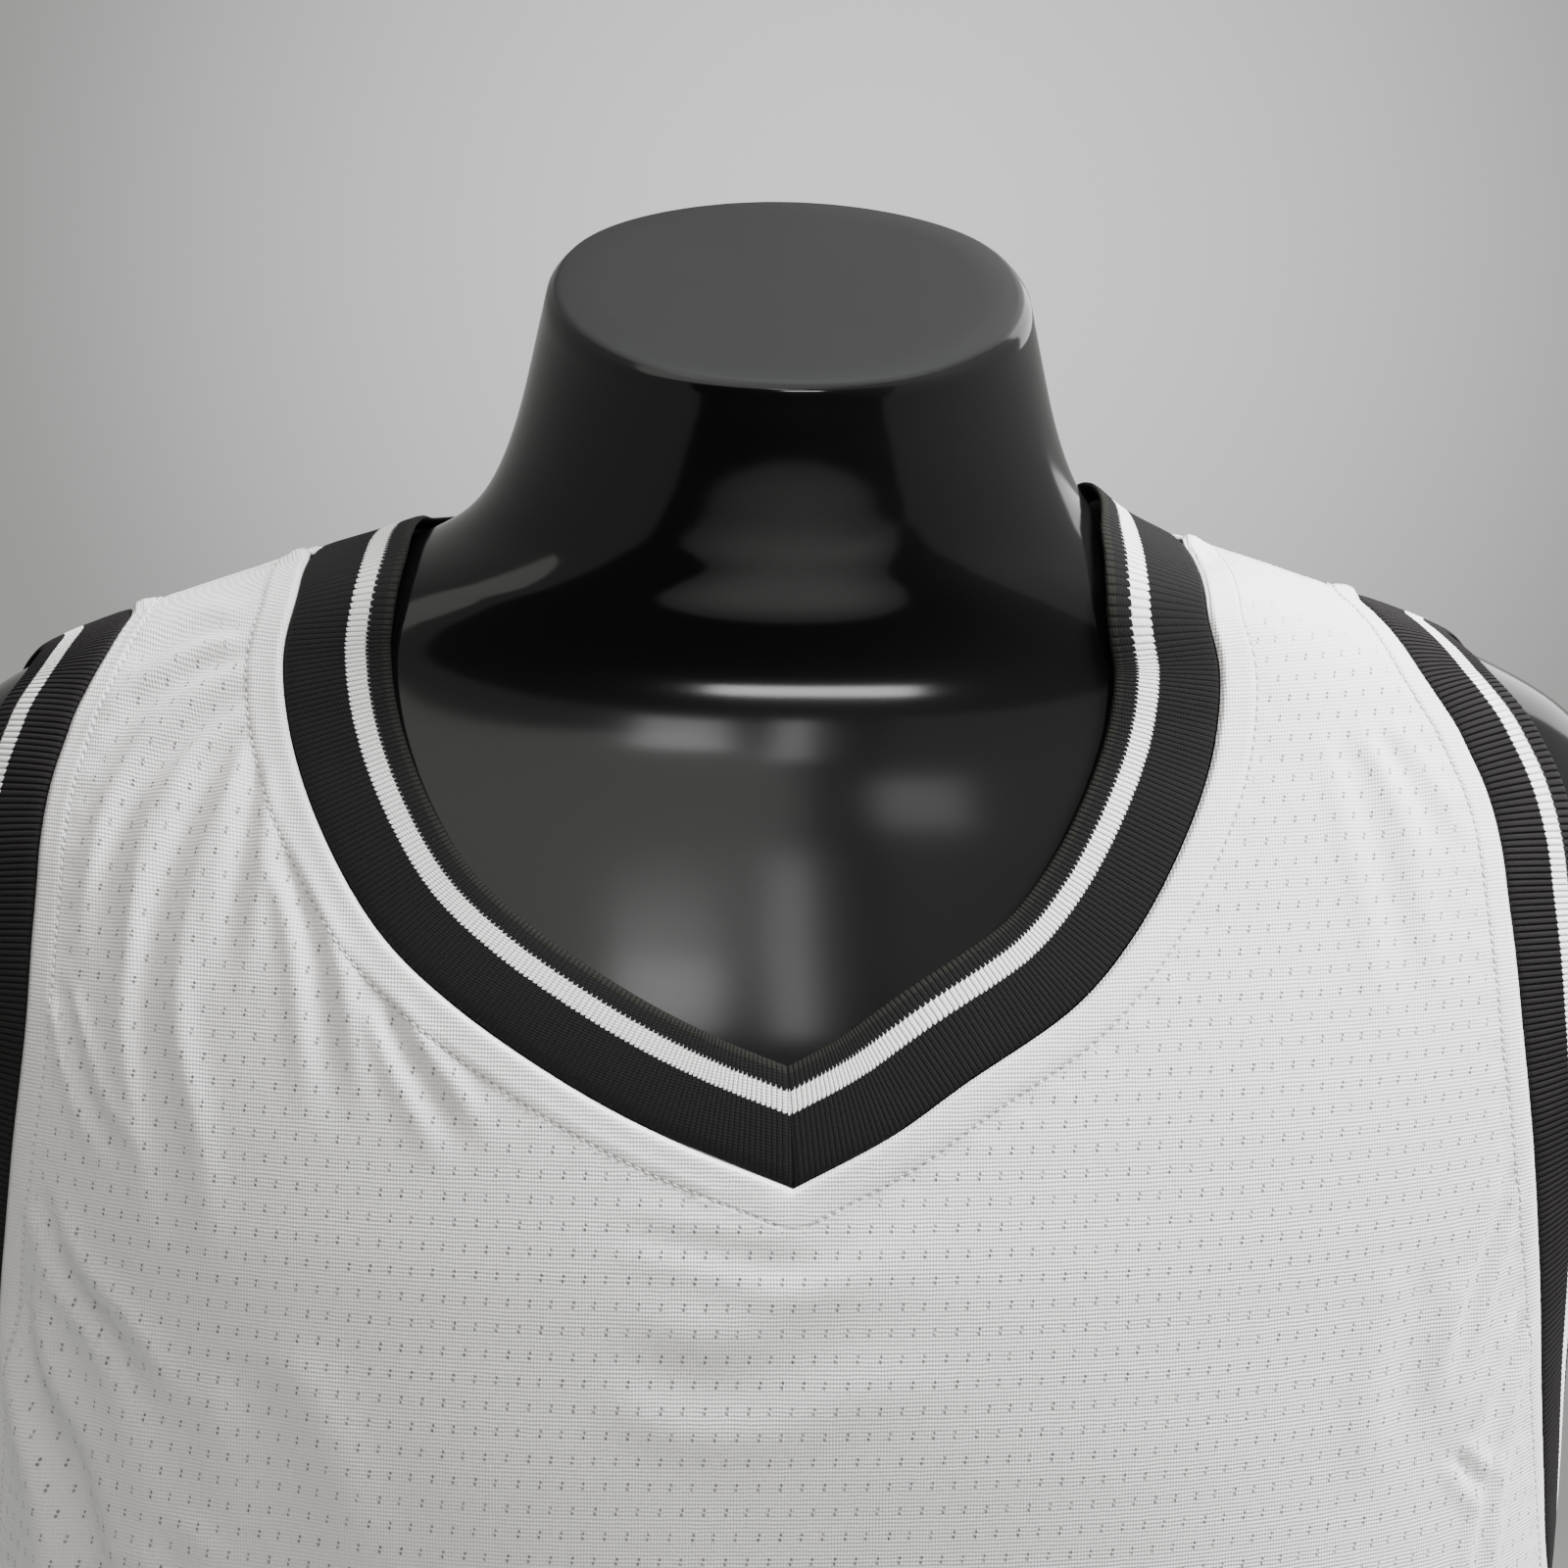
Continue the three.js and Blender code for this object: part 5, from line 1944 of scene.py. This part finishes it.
@dataclass
class Studio:
    """A plain pale room with soft light, and the camera at the photograph's angle.

    Lengths are in metres. The glow is a bright part of the backdrop round one direction, each tower
    of the flag is the turn of its middle, half its width in degrees and its top, and the floor is
    clear beyond its fade.
    """

    target: tuple[float, float, float] = (0.0, -0.030, 0.763)
    azimuth: float = -2.5
    elevation: float = 12.0
    distance: float = 1.05
    roll: float = 0.8
    sensor: float = 36.0
    focal_pixels: float = 4008.0
    picture_pixels: float = 1600.0
    clip_start: float = 0.05
    grey: tuple = (0.36, 0.366, 0.352, 1)
    glow: tuple = (1.02, 1.05, 1.035, 1)
    glow_way: tuple[float, float, float] = (0.0634, 0.9944, -0.0724)
    glow_spread: float = math.radians(13.5)
    glow_power: float = 1.5
    flag_radius: float = 1.25
    flag_turn: float = 42.0
    flag_steps: int = 169
    flag_foot: float = 0.02
    flag_top: float = 1.30
    flag_towers: tuple[tuple[float, float, float], ...] = ((6.7, 2.4, 2.05), (0.1, 1.3, 1.60))
    flag_black: tuple = (0.006, 0.006, 0.006, 1)
    floor_sides: int = 96
    floor_radius: float = 1.5
    floor_drop: float = 0.001
    floor_grain: float = 40.0
    floor_dark: tuple = (0.44, 0.445, 0.43, 1)
    floor_pale: tuple = (0.48, 0.485, 0.47, 1)
    floor_roughness: float = 0.7
    floor_fade: tuple[float, float] = (0.7, 1.45)

    def build(self) -> None:
        """Sets up the camera, the lights, the backdrop and the floor."""
        self._camera()
        self._world()
        self._floor()
        self._flag()
        for lamp in LAMPS:
            lamp.build()

    def _camera(self) -> None:
        """Puts the camera where the photograph was taken."""
        turn, rise = math.radians(self.azimuth), math.radians(self.elevation)
        back = Vector((math.sin(turn) * math.cos(rise), -math.cos(turn) * math.cos(rise), math.sin(rise)))
        right = Vector((math.cos(turn), math.sin(turn), 0))
        up = back.cross(right)
        roll = math.radians(self.roll)
        level_right = right * math.cos(roll) + up * math.sin(roll)
        level_up = up * math.cos(roll) - right * math.sin(roll)
        data = bpy.data.cameras.new("camera")
        data.sensor_width = self.sensor
        data.lens = self.sensor * self.focal_pixels / self.picture_pixels
        data.clip_start = self.clip_start
        camera = bpy.data.objects.new("camera", data)
        axes = Matrix((level_right, level_up, back)).transposed()
        place = Matrix.Translation(Vector(self.target) + back * self.distance)
        camera.matrix_world = place @ axes.to_4x4()
        bpy.context.scene.collection.objects.link(camera)
        bpy.context.scene.camera = camera

    def _world(self) -> None:
        """Surrounds the part with plain pale grey that is brighter behind the neck's left side."""
        world = bpy.data.worlds.new("backdrop")
        world.use_nodes = True
        bpy.context.scene.world = world
        nodes = Nodes(world.node_tree)
        way = nodes.node("ShaderNodeTexCoord").outputs["Generated"]
        settings = {"operation": "DOT_PRODUCT"}
        along = nodes.node("ShaderNodeVectorMath", settings, {0: way, 1: self.glow_way})
        limits = {"From Min": math.cos(self.glow_spread), "From Max": 1.0}
        sockets = {"Value": along.outputs["Value"], **limits}
        near = Value(nodes, nodes.node("ShaderNodeMapRange", None, sockets).outputs[0])
        share = nodes.math("POWER", near, self.glow_power)
        colour = nodes.mix(share, self.grey, self.glow)
        background = nodes.node("ShaderNodeBackground", None, {"Color": colour})
        nodes.node("ShaderNodeOutputWorld", None, {"Surface": background.outputs[0]})

    def _flag(self) -> None:
        """Hangs a curved black flag round the front, with two tall parts, for the gloss to reflect."""
        turns = np.linspace(-self.flag_turn, self.flag_turn, self.flag_steps)
        angles, count = np.radians(turns), len(turns)
        rim = np.stack([self.flag_radius * np.sin(angles), -self.flag_radius * np.cos(angles)], -1)
        tops = np.full(count, self.flag_top)
        for middle, half, top in self.flag_towers:
            tops = np.where(np.abs(turns - middle) < half, top, tops)
        points = [(x, y, self.flag_foot) for x, y in rim] + [(x, y, z) for (x, y), z in zip(rim, tops)]
        faces = [(k, k + 1, k + 1 + count, k + count) for k in range(count - 1)]
        mesh = bpy.data.meshes.new("flag")
        mesh.from_pydata(points, [], faces)
        finish = Finish("flag_cloth")
        mesh.materials.append(finish.shade({"Base Color": self.flag_black, "Roughness": 1.0}))
        flag = bpy.data.objects.new("flag", mesh)
        flag.visible_camera = False
        bpy.context.scene.collection.objects.link(flag)

    def _floor(self) -> None:
        """Lays a round pale floor."""
        bpy.ops.mesh.primitive_circle_add(
            vertices=self.floor_sides,
            radius=self.floor_radius,
            fill_type="NGON",
            location=(0, 0, -self.floor_drop),
        )
        floor = bpy.context.object
        floor.name = "floor"
        finish = Finish("floor_paint")
        x, y, _ = finish.parts(finish.place())
        reach = finish.math("SQRT", x * x + y * y)
        grain = finish.noise(finish.place(), self.floor_grain, 3.0)
        colour = finish.mix(grain, self.floor_dark, self.floor_pale)
        sockets = {"Base Color": colour, "Roughness": self.floor_roughness}
        paint = finish.node("ShaderNodeBsdfPrincipled", None, sockets)
        clear = finish.node("ShaderNodeBsdfTransparent")
        fade = reach.above(*self.floor_fade)
        sockets = {0: fade, 1: paint.outputs[0], 2: clear.outputs[0]}
        floor.data.materials.append(finish.end(finish.node("ShaderNodeMixShader", None, sockets)))


def main() -> None:
    """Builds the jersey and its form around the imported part, and the studio."""
    logging.basicConfig(level=logging.INFO, format="%(name)s: %(message)s")
    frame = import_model()
    form = DressForm().build(frame)
    pattern = Pattern()
    knit, thread = EyeletKnit().build(), Thread().build()
    densities = {
        Face.FRONT: Density(skirt=80, chest=52, strap=110, chest_share=0.4),
        Face.BACK: Density(skirt=80, chest=100, strap=60, chest_share=0.68),
    }
    for face, density in densities.items():
        BodyPanel(pattern, face, density).build(knit, thread, form.name)
    # The crest colours are painted highlights on the ribs, brighter on the arm bands; the blacks, darkest
    # in the arm bands' deep grooves, are painted shade.
    neck_rib = RibKnit(
        name="neck_rib",
        stripe=(17.1, 22.3),
        pitch=NECK_RIB_PITCH,
        crest=(0.0105, 0.0102, 0.0102, 1),
        black=(0.008, 0.008, 0.008, 1),
        fold_stitches=1.0,
    ).build()
    arm_rib = RibKnit(
        name="arm_rib",
        stripe=(15.2, 20.6),
        pitch=ARM_RIB_PITCH,
        crest=(0.018, 0.0165, 0.0165, 1),
        black=(0.002, 0.002, 0.002, 1),
    ).build()
    tops = tuple(pattern.neck_tops.values())
    neck_band = RibBand(
        name="neck_band",
        node="neckband",
        seam=pattern.neck,
        inwards=-1,
        pitch=NECK_RIB_PITCH,
        relief=0.07,
        mitred=True,
        shoulders=tops,
    )
    neck_band.build(neck_rib, form.name)
    for side in (Side.RIGHT, Side.LEFT):
        arm_band = RibBand(
            name=f"arm_band_{side.name.lower()}",
            node=f"armhole_band_{side.name.lower()}",
            seam=pattern.arms[side],
            inwards=-side.value,
            pitch=ARM_RIB_PITCH,
            relief=0.28,
        )
        arm_band.build(arm_rib, form.name)
    Studio().build()


if __name__ == "__main__":
    main()
